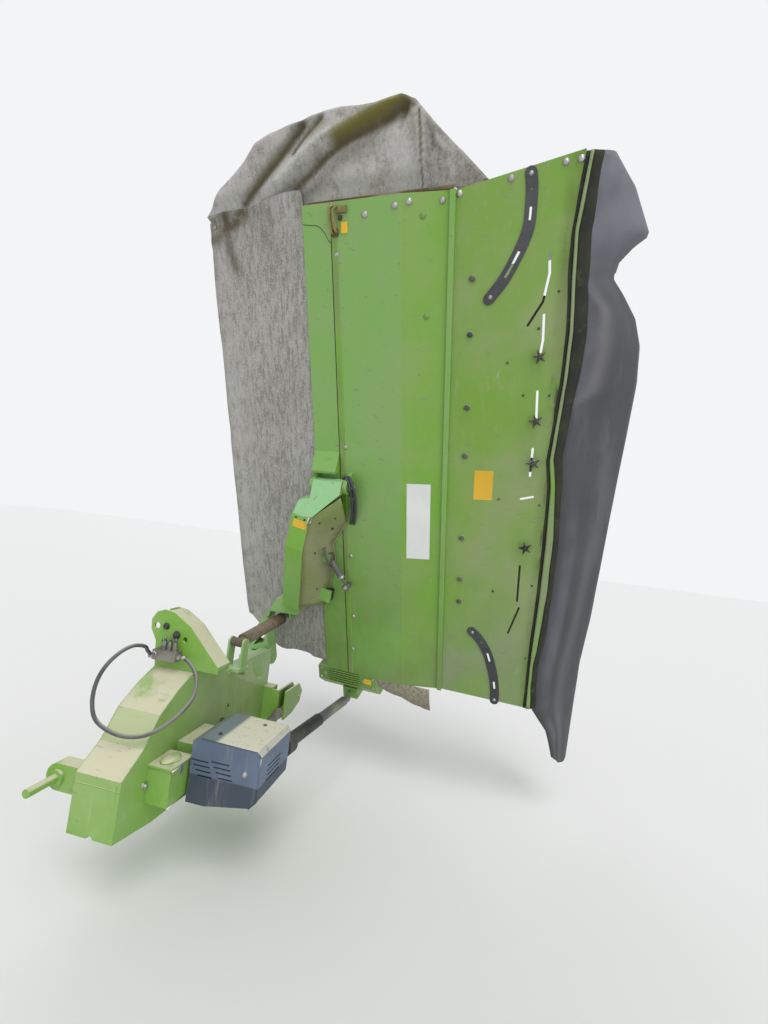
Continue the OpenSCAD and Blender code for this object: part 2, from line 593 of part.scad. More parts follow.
module rear_curtain() color(black_rubber) on_unit() translate([-380, 0, 0]) along_x(hood_len + 470) polygon([
    [rear_v, rear_w - 8], [-700, -190], [-850, -290], [-895, -430], [-830, -640], [-822, -636], [-886, -430],
    [-843, -296], [-697, -198], [rear_v - 8, rear_w - 26], [rear_v - 4, rear_w - 50], [rear_v, rear_w - 50]]);
module inner_flap() color(black_rubber) on_unit() translate([-250, 60, -24]) cube([250, 370, 8]);

guard_hinge_u = hood_len + 11.3;
guard_hinge_w = -50;
guard_bar_w = -67; // middle of the bars under the cloth
// Outer guard in plan, clockwise from its forward hinge end: columns u, v
guard_bow = [for (q = [[175, 1300], [335, 1110], [415, 570], [435, 280], [335, 130]]) [hood_len + q.x, q.y]];
guard_plan = concat([[guard_hinge_u + 8, 1455]], guard_bow, [[guard_hinge_u + 36, -135]]);
guard_inside = concat([[hood_len - 25, 1502]], guard_bow, [[hood_len - 25, -205]]);
guard_skin = 8;
guard_depth = 475;
module outer_guard_frame() color(steel) on_unit() {
    translate([guard_hinge_u, 0, guard_hinge_w]) bar_y(11, 790);
    for (v = [150, 400, 760]) translate([guard_hinge_u, v, guard_bar_w - 12]) cube([300, 24, 24]);
    translate([guard_hinge_u + 290, 150, guard_bar_w]) bar_y(12, 634);
}
module outer_tarp() color(tarp_grey) on_unit() translate([0, 0, guard_bar_w + 12 + guard_skin - guard_depth]) difference() {
    linear_extrude(guard_depth) polygon(guard_plan);
    translate([0, 0, -1]) linear_extrude(guard_depth + 1 - guard_skin) polygon(inset(guard_inside, guard_skin));
}

tine_len = tine_r - rotor_tube_r + 6;
module tine_rotor() color(steel) on_unit() translate([0, rotor_v, rotor_w]) {
    translate([40, 0, 0]) bar_x(rotor_tube_r, hood_len - 80);
    translate([1, 0, 0]) bar_x(rotor_shaft_r, hood_len - 2);
    for (row = [0 : 3], k = [0 : tines_per_row - 1], s = [-1, 1])
        translate([110 + (k + (row % 2) / 2) * (hood_len - 260) / tines_per_row + 20, 0, 0])
            rotate([row * 90, 0, 0]) translate([0, 0, rotor_tube_r - 6]) rotate([0, s * 10, 0])
                translate([-6, -12, 0]) cube([12, 24, tine_len / cos(10) - 4]);
}

disc_w = bar_w1 + 22 + touch;
module disc(i) color(steel) on_unit() translate([first_disc + (i - 1) * disc_pitch, disc_v, disc_w])
    rotate([0, 0, i % 2 ? 0 : 90]) {
        intersection() {
            cylinder(r = disc_r, h = 8);
            translate([0, 190, -1]) cylinder(r = 320, h = 10, $fn = 96);
            translate([0, -190, -1]) cylinder(r = 320, h = 10, $fn = 96);
        }
        rotate_extrude() polygon([[0, 7], [118, 7], [112, 16], [60, 44], [0, 50]]);
        for (s = [0, 180]) rotate([0, 0, s]) translate([disc_r - 40, -22, -5]) cube([knife_r - disc_r + 40, 44, 5.5]);
    }
module disc_1() disc(1);
module disc_2() disc(2);
module disc_3() disc(3);
module disc_4() disc(4);
module disc_5() disc(5);
module disc_6() disc(6);
module disc_7() disc(7);

main_beam();
mast();
link_bracket_left();
link_bracket_right();
gearbox();
drive_guard();
tool_box();
valve_block();
hose();
hinge_casting();
kingpin();
console();
stay_strut();
fold_arm();
arm_foot();
arm_head();
buffer();
latch_cylinder();
fold_cylinder_barrel();
fold_cylinder_rod();
drive_shaft_tube();
drive_shaft_rod();
hood_beam();
hood_strip();
hood_panel();
hood_rib();
swath_hood();
end_plate_inner();
end_plate_outer();
cutter_bar();
skids();
pendulum_bracket();
inner_gearbox();
conditioner_plate();
swath_plates();
front_guard_frame();
front_tarp();
rear_curtain();
inner_flap();
outer_guard_frame();
outer_tarp();
tine_rotor();
disc_1();
disc_2();
disc_3();
disc_4();
disc_5();
disc_6();
disc_7();
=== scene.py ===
# Rear-mounted disc mower conditioner, folded up for the road. Metres, in the frame's own axes.
import math

import bpy
from mathutils import Matrix, Vector, noise


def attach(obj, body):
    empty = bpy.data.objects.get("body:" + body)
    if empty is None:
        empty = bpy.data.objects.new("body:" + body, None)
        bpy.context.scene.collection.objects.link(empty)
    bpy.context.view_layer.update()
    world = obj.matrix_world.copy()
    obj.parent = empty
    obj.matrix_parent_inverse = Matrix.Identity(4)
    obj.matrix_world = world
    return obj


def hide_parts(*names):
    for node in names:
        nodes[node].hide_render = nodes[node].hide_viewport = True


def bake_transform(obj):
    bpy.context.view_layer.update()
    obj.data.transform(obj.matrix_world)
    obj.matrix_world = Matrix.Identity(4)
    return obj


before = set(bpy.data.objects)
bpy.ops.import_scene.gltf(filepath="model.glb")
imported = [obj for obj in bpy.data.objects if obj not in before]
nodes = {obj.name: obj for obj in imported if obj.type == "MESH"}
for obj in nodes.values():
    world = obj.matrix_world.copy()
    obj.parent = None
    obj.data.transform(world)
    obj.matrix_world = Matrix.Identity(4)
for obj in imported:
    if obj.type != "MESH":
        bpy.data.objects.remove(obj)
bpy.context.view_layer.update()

# Frames of the machine, from the CAD source
MM = 0.001
HITCH = Matrix.Translation((0.55125, 0, 0))
SLEW = math.radians(8.3)
LEAN = math.radians(21.8)
ARM_TURN = math.radians(13.2)
FOLD = HITCH @ Matrix.Translation((1.030, -0.227, 0.238)) @ Matrix.Rotation(-SLEW, 4, "Z")
FOLDED_UP = Matrix.Rotation(-(math.radians(90) + LEAN), 4, "Y")
MOWER = FOLD @ FOLDED_UP @ Matrix.Translation((-0.043, -1.282, -0.081))
ARM = MOWER @ Matrix.Translation((0.370, 1.010, 0)) @ Matrix.Rotation(-ARM_TURN, 4, "Z")
FLOOR_Z = -0.532
PLUS_Z, MINUS_Y, MINUS_X = (0, 0, 1), (0, -1, 0), (-1, 0, 0)


def smoothstep(low, high, x):
    t = min(max((x - low) / (high - low), 0.0), 1.0)
    return t * t * (3 - 2 * t)


def along(points, x):
    """The value at x of a polyline of (x, value, ...) points, sorted by x."""
    if x <= points[0][0]:
        return points[0][1]
    for (x0, y0), (x1, y1) in zip(points, points[1:]):
        if x <= x1:
            return y0 + (y1 - y0) * (x - x0) / (x1 - x0)
    return points[-1][1]


def spline(points, steps):
    """A smooth curve through the points."""
    pts = [Vector(p) for p in points]
    out = []
    for i in range(len(pts) - 1):
        a, b, c, d = pts[max(i - 1, 0)], pts[i], pts[i + 1], pts[min(i + 2, len(pts) - 1)]
        for k in range(steps):
            t = k / steps
            out.append(0.5 * (2 * b + (c - a) * t + (2 * a - 5 * b + 4 * c - d) * t * t
                              + (3 * b - a - 3 * c + d) * t ** 3))
    return out + [pts[-1]]


def new_object(name, data):
    piece = bpy.data.objects.new(name, data)
    bpy.context.scene.collection.objects.link(piece)
    return piece


# Camera at the photograph's viewing angle
camera_data = bpy.data.cameras.new("camera")
camera_data.sensor_fit = "VERTICAL"
camera_data.sensor_height = 24
camera_data.lens = 11.513
camera = new_object("camera", camera_data)
right = Vector((0.1982, -0.97246, 0.12261))
down = Vector((0.06271, -0.11225, -0.9917))
forward = Vector((0.97815, 0.20425, 0.03874))
turned = Matrix((right, -down, -forward)).transposed().to_4x4()
camera.matrix_world = Matrix.Translation((-1.8015, -1.6926, 1.2365)) @ turned
bpy.context.scene.camera = camera


# Materials

class Finish:
    """One material's node tree."""

    def __init__(self, name):
        self.material = bpy.data.materials.new(name)
        self.material.use_nodes = True
        self.tree = self.material.node_tree
        self.shader = self.tree.nodes["Principled BSDF"]
        self.source = self.add("ShaderNodeTexCoord")
        self.place = self.source.outputs["Object"]

    def add(self, kind, inputs=None, **settings):
        node = self.tree.nodes.new(kind)
        for key, value in settings.items():
            setattr(node, key, value)
        for key, value in (inputs or {}).items():
            self.put(node.inputs[key], value)
        return node

    def put(self, socket, value):
        if isinstance(value, bpy.types.NodeSocket):
            self.tree.links.new(value, socket)
        elif socket.type == "RGBA" and len(value) == 3:
            socket.default_value = (*value, 1)
        else:
            socket.default_value = value

    def scaled(self, factors):
        return self.add("ShaderNodeMapping", {"Vector": self.place, "Scale": factors}).outputs[0]

    def noise(self, scale, detail=4.0, rough=0.55, stretch=None, twist=0.0):
        inputs = {"Vector": self.scaled(stretch) if stretch else self.place, "Scale": scale, "Detail": detail,
                  "Roughness": rough, "Distortion": twist}
        return self.add("ShaderNodeTexNoise", inputs).outputs["Fac"]

    def patches(self, low, high, *args, **kwargs):
        """A noise cut to patches: 0 where it is below low and 1 above high."""
        return self.band(self.noise(*args, **kwargs), low, high)

    def dot(self, a, b):
        return self.add("ShaderNodeVectorMath", {0: a, 1: b}, operation="DOT_PRODUCT").outputs["Value"]

    def plain_math(self, operation, a, b=0.5):
        """Like math, but the result may leave the range of 0 to 1."""
        return self.add("ShaderNodeMath", {0: a, 1: b}, operation=operation).outputs[0]

    def specks(self, scale, size):
        near = self.add("ShaderNodeTexVoronoi", {"Vector": self.place, "Scale": scale}).outputs["Distance"]
        return self.band(near, size, size * 0.55)

    def band(self, value, low, high):
        """0 at low and 1 at high, smooth between."""
        return self.add("ShaderNodeMapRange", {"Value": value, "From Min": low, "From Max": high},
                        interpolation_type="SMOOTHSTEP").outputs["Result"]

    def math(self, operation, a, b):
        return self.add("ShaderNodeMath", {0: a, 1: b}, operation=operation, use_clamp=True).outputs[0]

    def times(self, a, b):
        return self.math("MULTIPLY", a, b)

    def mix(self, factor, a, b):
        node = self.add("ShaderNodeMix", data_type="RGBA")
        for socket, value in zip((node.inputs[0], node.inputs[6], node.inputs[7]), (factor, a, b)):
            self.put(socket, value)
        return node.outputs[2]

    def blend_values(self, factor, a, b):
        node = self.add("ShaderNodeMix", {0: factor, 2: a, 3: b}, data_type="FLOAT")
        return node.outputs[0]

    def where(self, axis, low, high):
        """0 to 1 along one of the object's own axes."""
        parts = self.add("ShaderNodeSeparateXYZ", {0: self.place})
        return self.band(parts.outputs[axis], low, high)

    def stains(self):
        """Three channels painted on a sheet's points. On cloth: moss, brown soiling with painted shade, and a
        pale tone with painted highlight. On the rubber curtain: painted shade, painted highlight on the
        folds, and a pale painted highlight.
        """
        node = self.add("ShaderNodeAttribute", attribute_name="stains")
        return self.add("ShaderNodeSeparateColor", {0: node.outputs["Color"]}).outputs

    def facing(self, axis, low, high):
        """1 where the surface faces along the object's own axis."""
        parts = self.add("ShaderNodeSeparateXYZ", {0: self.source.outputs["Normal"]})
        return self.band(parts.outputs[axis], low, high)

    def edges(self, radius):
        """Rounded normal and a mask of the edges, which are lightened for wear and as a painted highlight."""
        soft = self.add("ShaderNodeBevel", {"Radius": radius}, samples=4).outputs[0]
        flat = self.add("ShaderNodeNewGeometry").outputs["Normal"]
        return soft, self.band(self.dot(soft, flat), 0.995, 0.9)

    def bump(self, height, distance, normal=None, strength=1.0):
        inputs = {"Height": height, "Distance": distance, "Strength": strength}
        if normal is not None:
            inputs["Normal"] = normal
        return self.add("ShaderNodeBump", inputs).outputs[0]

    def finish(self, colour, rough, normal=None, extra=()):
        self.put(self.shader.inputs["Base Color"], colour)
        self.put(self.shader.inputs["Roughness"], rough)
        if normal is not None:
            self.put(self.shader.inputs["Normal"], normal)
        for key, value in extra:
            self.put(self.shader.inputs[key], value)
        return self.material


DUST = (0.40, 0.365, 0.27)
DRY_MUD = (0.66, 0.62, 0.46)
BARE = (0.23, 0.21, 0.19)
WEAVE = 620


def paint(name, colour, faded, dust, top_dust=0.0, chips=0.5,
          front=None, rear=None, rear_from=-1.0, foot=None, rim=None):
    """Lime paint with faded patches, dust, dirty runs, chips, and edges lightened for wear and as a painted
    highlight.

    front: a lighter colour on the faces turned to the front, painted light
    rear: a darker colour on the faces turned to the rear, from an x of rear_from on, painted shade
    foot: dusty colour low down
    rim: painted shade towards the mower's rear edge, beside the gutter's lip, darkest in streaky bands
    """
    f = Finish(name)
    soft, edge_wear_and_highlight = f.edges(0.0025)
    tone = f.mix(f.patches(0.35, 0.68, 1.1, 3), colour, faded)
    # Painted light: a lighter tone on the faces turned to the front.
    if front:
        tone = f.mix(f.facing("Y", 0.03, 0.09), tone, front)
    # Painted shade: a darker olive tone on the faces turned to the rear, in patches.
    if rear:
        turned = f.times(f.facing("Y", -0.55, -0.9), f.where("X", rear_from, rear_from + 0.3))
        tone = f.mix(f.times(turned, f.patches(0.2, 0.5, 2.6, 5)), tone, rear)
    if foot:
        tone = f.mix(f.times(f.where("Z", 1.5, 0.1), f.patches(0.25, 0.6, 2.2, 5)), tone, foot)
    # Painted shade along the rear edge beside the gutter's lip, with near-black streaky bands of painted
    # shade.
    if rim:
        forward_axis = MOWER.to_3x3().col[1]
        back = f.dot(f.place, forward_axis)
        base = MOWER.translation.dot(forward_axis)
        shade = f.times(f.band(back, base - 0.485, base - 0.545), f.patches(0.25, 0.65, 1.5, 4))
        tone = f.mix(shade, tone, rim)
        streaked_shade = f.band(back, base - 0.500, base - 0.555)
        streaked_shade = f.times(streaked_shade, f.patches(0.56, 0.70, 6, 5, 0.6, stretch=(1, 5, 0.7)))
        tone = f.mix(streaked_shade, tone, (0.035, 0.040, 0.012))
    film = f.times(f.patches(0.36, 0.74, 2.3, 7, 0.62), dust)
    runs = f.times(f.patches(0.52, 0.78, 3.0, 5, 0.6, stretch=(9, 9, 0.9)), dust * 0.9)
    film = f.math("MAXIMUM", film, runs)
    if top_dust:
        cover = f.times(f.facing("Z", 0.35, 0.75), f.patches(0.30, 0.50, 3.4, 6, 0.6))
        film = f.math("MAXIMUM", film, f.times(cover, top_dust))
    tone = f.mix(film, tone, DUST if not top_dust else DRY_MUD)
    # Edges paler: wear, and a painted edge highlight.
    tone = f.mix(f.times(edge_wear_and_highlight, 0.4), tone, (0.40, 0.58, 0.20))
    marks = f.times(f.specks(19, 0.10), f.patches(0.50, 0.62, 2.1, 2))
    scratches = f.times(f.patches(0.68, 0.74, 4, 2, 0.4, stretch=(40, 3, 9)), 0.8)
    nicks = f.times(f.specks(7, 0.05), 0.9)
    marks = f.times(f.math("MAXIMUM", f.math("MAXIMUM", marks, nicks), scratches), chips)
    tone = f.mix(marks, tone, BARE)
    scuffs = f.patches(0.60, 0.70, 1.3, 3)
    scuffs = f.times(scuffs, f.patches(0.55, 0.7, 40, 4, 0.7, stretch=(1, 1, 0.15)))
    tone = f.mix(f.times(scuffs, 0.5), tone, (0.42, 0.52, 0.30))
    rough = f.blend_values(film, 0.36, 0.85)
    grain = f.blend_values(0.25, f.noise(150, 3), f.noise(5, 3))
    height = f.math("SUBTRACT", grain, marks)
    return f.finish(tone, rough, f.bump(height, 0.0006, soft), [("Specular IOR Level", 0.45)])


def metal(name, colour, stain, share, rough=0.42, shine=1.0, dust=0.35):
    f = Finish(name)
    soft = f.edges(0.0012)[0]
    patch = f.times(f.patches(0.42, 0.62, 9, 8, 0.62), share)
    tone = f.mix(patch, colour, stain)
    film = f.times(f.patches(0.42, 0.7, 4, 6), dust)
    tone = f.mix(film, tone, DUST)
    metallic = f.math("SUBTRACT", shine, f.math("MAXIMUM", patch, film))
    f.put(f.shader.inputs["Metallic"], metallic)
    height = f.blend_values(0.5, f.noise(160, 4), patch)
    return f.finish(tone, f.blend_values(patch, rough, 0.85), f.bump(height, 0.0005, soft))


def plastic(name, colour, dusty, dust, top_dust=0.0, rough=0.55, grain=220):
    f = Finish(name)
    soft, edge_wear_and_highlight = f.edges(0.002)
    film = f.times(f.patches(0.38, 0.72, 3.1, 7, 0.62), dust)
    film = f.math("MAXIMUM", film, f.times(f.patches(0.55, 0.75, 3, 4, stretch=(7, 7, 0.8)), dust))
    if top_dust:
        cover = f.times(f.facing("Z", 0.4, 0.85), f.patches(0.28, 0.5, 4.5, 5, 0.6))
        film = f.math("MAXIMUM", film, f.times(cover, top_dust))
    tone = f.mix(film, f.mix(f.patches(0.35, 0.7, 0.9, 2), colour, [c * 0.8 for c in colour]), dusty)
    # Edges paler: wear, and a painted edge highlight.
    tone = f.mix(f.times(edge_wear_and_highlight, 0.3), tone, [c * 1.6 + 0.02 for c in colour])
    return f.finish(tone, f.blend_values(film, rough, 0.9), f.bump(f.noise(grain, 3), 0.0003, soft))


def cloth(name, colour, shade):
    """Coated cloth: weave, streaking, creases, brown soiling with painted shade, a pale tone with painted
    highlight, and moss where the stains say.
    """
    f = Finish(name)
    moss, grime_and_shade, pale_and_highlight = f.stains()
    parts = f.add("ShaderNodeSeparateXYZ", {0: f.place})
    threads = []
    for axis in (1, 2):
        turns = f.plain_math("MULTIPLY", parts.outputs[axis], WEAVE * math.pi)
        threads.append(f.plain_math("SINE", turns))
    grid = f.plain_math("MULTIPLY", *threads)
    tone = f.mix(f.patches(0.40, 0.70, 2.2, 8, 0.66, twist=0.4), colour, shade)
    streak = f.patches(0.42, 0.62, 30, 6, 0.72, stretch=(1, 1.6, 0.16))
    tone = f.mix(f.times(streak, 0.70), tone, [c * 0.52 for c in shade])
    pits = f.patches(0.54, 0.66, 60, 5, 0.8, stretch=(1, 1, 0.5))
    tone = f.mix(f.times(pits, 0.55), tone, [c * 0.50 for c in shade])
    fleck = f.patches(0.50, 0.62, 95, 5, 0.75)
    tone = f.mix(f.times(fleck, 0.50), tone, [c * 1.42 for c in colour])
    # Pale where the third channel says: painted highlight on lit ridges, and a paler cloth towards the front
    # bar.
    tone = f.mix(f.times(pale_and_highlight, f.patches(0.3, 0.6, 12, 5)), tone, (0.57, 0.56, 0.54))
    green = f.times(moss, f.patches(0.05, 0.42, 9, 6, 0.6))
    tone = f.mix(green, tone, (0.175, 0.158, 0.026))
    # Brown where the second channel says: grime, and painted shade in folds and under ridges.
    brown_grime_and_shade = f.times(grime_and_shade, f.patches(0.12, 0.50, 16, 6, 0.65))
    tone = f.mix(brown_grime_and_shade, tone, (0.085, 0.066, 0.030))
    spots = f.times(f.specks(48, 0.15), f.patches(0.46, 0.62, 6, 3))
    tone = f.mix(spots, tone, (0.07, 0.055, 0.04))
    normal = f.bump(f.noise(14, 5, 0.6, stretch=(1, 2.6, 1), twist=1.2), 0.006, strength=0.55)
    normal = f.bump(grid, 0.0003, normal, strength=0.6)
    return f.finish(tone, 0.86, normal, [("Sheen Weight", 0.12)])


def rubber_sheet(name, colour, dusty):
    f = Finish(name)
    dark, fold_highlight, pale_and_highlight = f.stains()
    film = f.patches(0.36, 0.70, 1.6, 7, 0.6)
    wipes = f.patches(0.48, 0.70, 2.0, 5, 0.6, stretch=(1.0, 5, 3))
    tone = f.mix(f.times(film, 0.45), colour, dusty)
    tone = f.mix(f.times(wipes, 0.35), tone, [c * 1.2 for c in dusty])
    # Painted highlight: a pale bluish tone where the third channel says.
    tone = f.mix(f.times(pale_and_highlight, f.patches(0.2, 0.6, 3, 6)), tone, (0.195, 0.200, 0.240))
    # Painted shade where the first channel says.
    tone = f.mix(dark, tone, [c * 0.62 for c in colour])
    # Painted highlight on the folds, a light grey, where the second channel says.
    tone = f.mix(fold_highlight, tone, (0.30, 0.285, 0.30))
    tone = f.mix(f.times(f.specks(30, 0.08), f.patches(0.55, 0.65, 3, 2)), tone, (0.3, 0.29, 0.26))
    normal = f.bump(f.noise(7, 4, 0.5), 0.004, strength=0.5)
    normal = f.bump(f.noise(320, 3), 0.0003, normal, strength=0.6)
    return f.finish(tone, f.blend_values(film, 0.50, 0.78), normal)


def guard_finish(name, colour):
    """Moulded guard: blue-grey, with pale dust over the far half of its top."""
    f = Finish(name)
    soft, edge_wear_and_highlight = f.edges(0.002)
    tone = f.mix(f.patches(0.40, 0.74, 3.1, 7, 0.62), colour, [c * 1.5 for c in colour])
    tone = f.mix(f.times(f.where("Z", 0.003, -0.006), 0.8), tone, [c * 0.32 for c in colour])
    top = f.times(f.facing("Z", 0.4, 0.8), f.where("Z", 0.09, 0.12))
    tone = f.mix(f.times(top, 0.75), tone, (0.22, 0.255, 0.27))
    cover = f.times(top, f.where("Y", -0.575, -0.600))
    tone = f.mix(f.times(cover, f.patches(0.16, 0.46, 24, 6, 0.7)), tone, (0.74, 0.70, 0.58))
    runs = f.times(f.patches(0.55, 0.75, 3, 5, 0.6, stretch=(9, 9, 0.8)), 0.4)
    tone = f.mix(runs, tone, (0.33, 0.32, 0.30))
    # Edges paler: wear, and a painted edge highlight.
    tone = f.mix(f.times(edge_wear_and_highlight, 0.35), tone, [c * 2.2 for c in colour])
    return f.finish(tone, 0.55, f.bump(f.noise(260, 3), 0.0003, soft))


LIME = (0.185, 0.400, 0.040)
LIME_FADED = (0.205, 0.410, 0.070)
# A lighter mint, painted light on the castings.
LIT_MINT = (0.290, 0.560, 0.200)
# In these paints the front colour is a painted-light tone and the rear colour a painted-shade tone.
finishes = {
    "lime_paint": paint("lime_paint", LIME, LIME_FADED, 0.22, top_dust=0.95,
                        rear=(0.150, 0.265, 0.050), rear_from=0.42),
    "hood_paint": paint("hood_paint", (0.172, 0.395, 0.030), (0.200, 0.395, 0.060), 0.26, chips=0.85,
                        front=(0.205, 0.420, 0.095), foot=(0.155, 0.290, 0.050)),
    # Roof: its rim colour is painted shade along the rear edge.
    "roof_paint": paint("roof_paint", (0.185, 0.355, 0.040), (0.205, 0.340, 0.085), 0.36, chips=0.7,
                        foot=(0.205, 0.285, 0.125), rim=(0.105, 0.180, 0.020)),
    # Castings: a lighter lime with patches of lighter mint, painted light, and darker rear faces, painted
    # shade.
    "pale_casting": paint("pale_casting", (0.215, 0.440, 0.095), LIT_MINT, 0.40, top_dust=0.55,
                          rear=(0.180, 0.330, 0.100)),
    "arm_paint": paint("arm_paint", (0.190, 0.430, 0.050), (0.240, 0.490, 0.130), 0.26, chips=0.9,
                       rear=(0.230, 0.265, 0.080)),
    # Arm's head: a mint copy of the lime paint, painted light, and darker rear faces, painted shade.
    "lit_head_paint": paint("lit_head_paint", (0.290, 0.600, 0.270), (0.310, 0.620, 0.330), 0.2, chips=0.9,
                        rear=(0.235, 0.275, 0.090)),
    # Arm's side web: an olive-brown copy of the lime paint, painted shade, and dusty.
    "web_paint": paint("web_paint", (0.215, 0.285, 0.075), (0.200, 0.215, 0.085), 0.55, chips=1.0),
    "guard_plastic": guard_finish("guard_plastic", (0.092, 0.122, 0.180)),
    "bare_steel": metal("bare_steel", (0.42, 0.42, 0.43), (0.16, 0.10, 0.06), 0.55),
    "shaft_grey": metal("shaft_grey", (0.150, 0.155, 0.165), (0.09, 0.07, 0.05), 0.4,
                        rough=0.5, shine=0.6, dust=0.5),
    "rusty_steel": metal("rusty_steel", (0.150, 0.085, 0.050), (0.060, 0.035, 0.025), 0.9,
                         rough=0.8, shine=0.35, dust=0.5),
    "bolt_steel": metal("bolt_steel", (0.50, 0.50, 0.50), (0.20, 0.14, 0.10), 0.35, rough=0.35, dust=0.25),
    "worn_steel": metal("worn_steel", (0.26, 0.27, 0.27), (0.10, 0.08, 0.06), 0.6, rough=0.5, dust=0.35),
    "dark_bolt": metal("dark_bolt", (0.075, 0.08, 0.085), (0.05, 0.04, 0.03), 0.5, rough=0.5, shine=0.7),
    "brass": metal("brass", (0.30, 0.26, 0.09), (0.11, 0.10, 0.04), 0.6, rough=0.45, shine=0.7),
    "rubber": plastic("rubber", (0.022, 0.022, 0.025), (0.20, 0.18, 0.15), 0.45, rough=0.6, grain=90),
    "hose_rubber": plastic("hose_rubber", (0.062, 0.066, 0.080), (0.46, 0.45, 0.38), 0.42,
                           top_dust=0.6, rough=0.5, grain=90),
    "black_plastic": plastic("black_plastic", (0.040, 0.043, 0.052), (0.13, 0.13, 0.13), 0.4, rough=0.45),
    "curtain_rubber": rubber_sheet("curtain_rubber", (0.062, 0.064, 0.072), (0.140, 0.142, 0.152)),
    "tarpaulin": cloth("tarpaulin", (0.425, 0.415, 0.395), (0.330, 0.315, 0.285)),
    "flap_cloth": cloth("flap_cloth", (0.42, 0.38, 0.29), (0.30, 0.26, 0.19)),
    "yellow_plate": plastic("yellow_plate", (0.90, 0.52, 0.015), (0.70, 0.48, 0.12), 0.25, rough=0.4),
    "white_plate": plastic("white_plate", (0.83, 0.85, 0.84), (0.62, 0.60, 0.50), 0.35, rough=0.4),
    # Near black: dark joints, plugs and the curtain's band, and painted shade in the groove, under the slots
    # and in the eyelets.
    "dark_gap": plastic("dark_gap", (0.016, 0.017, 0.013), (0.075, 0.090, 0.030), 0.55, rough=0.8),
}

# The CAD's own pieces and their finishes
DRESS = {
    "lime_paint": "main_beam gearbox mast link_bracket_left link_bracket_right tool_box console",
    "hood_paint": "hood_beam hood_strip hood_panel hood_rib end_plate_inner end_plate_outer pendulum_bracket "
                  "inner_gearbox conditioner_plate swath_plates",
    "roof_paint": "swath_hood",
    "pale_casting": "hinge_casting arm_foot",
    "arm_paint": "fold_arm",
    "lit_head_paint": "arm_head",
    "guard_plastic": "drive_guard",
    "shaft_grey": "stay_strut latch_cylinder drive_shaft_rod valve_block",
    "bare_steel": "kingpin fold_cylinder_rod cutter_bar front_guard_frame tine_rotor "
                  "disc_1 disc_2 disc_3 disc_4 disc_5 disc_6 disc_7",
    "rusty_steel": "fold_cylinder_barrel outer_guard_frame skids",
    "rubber": "hose buffer drive_shaft_tube rear_curtain inner_flap",
    "tarpaulin": "front_tarp outer_tarp",
}
for finish, names in DRESS.items():
    for name in names.split():
        node = nodes[name]
        node.data.materials.clear()
        node.data.materials.append(finishes[finish])


# Meshes

def faces_between(rings, count):
    """The quads between closed rings of count points each."""
    faces = []
    for start in range(0, (rings - 1) * count, count):
        for i in range(count):
            a, b = start + i, start + (i + 1) % count
            faces.append([a, b, b + count, a + count])
    return faces


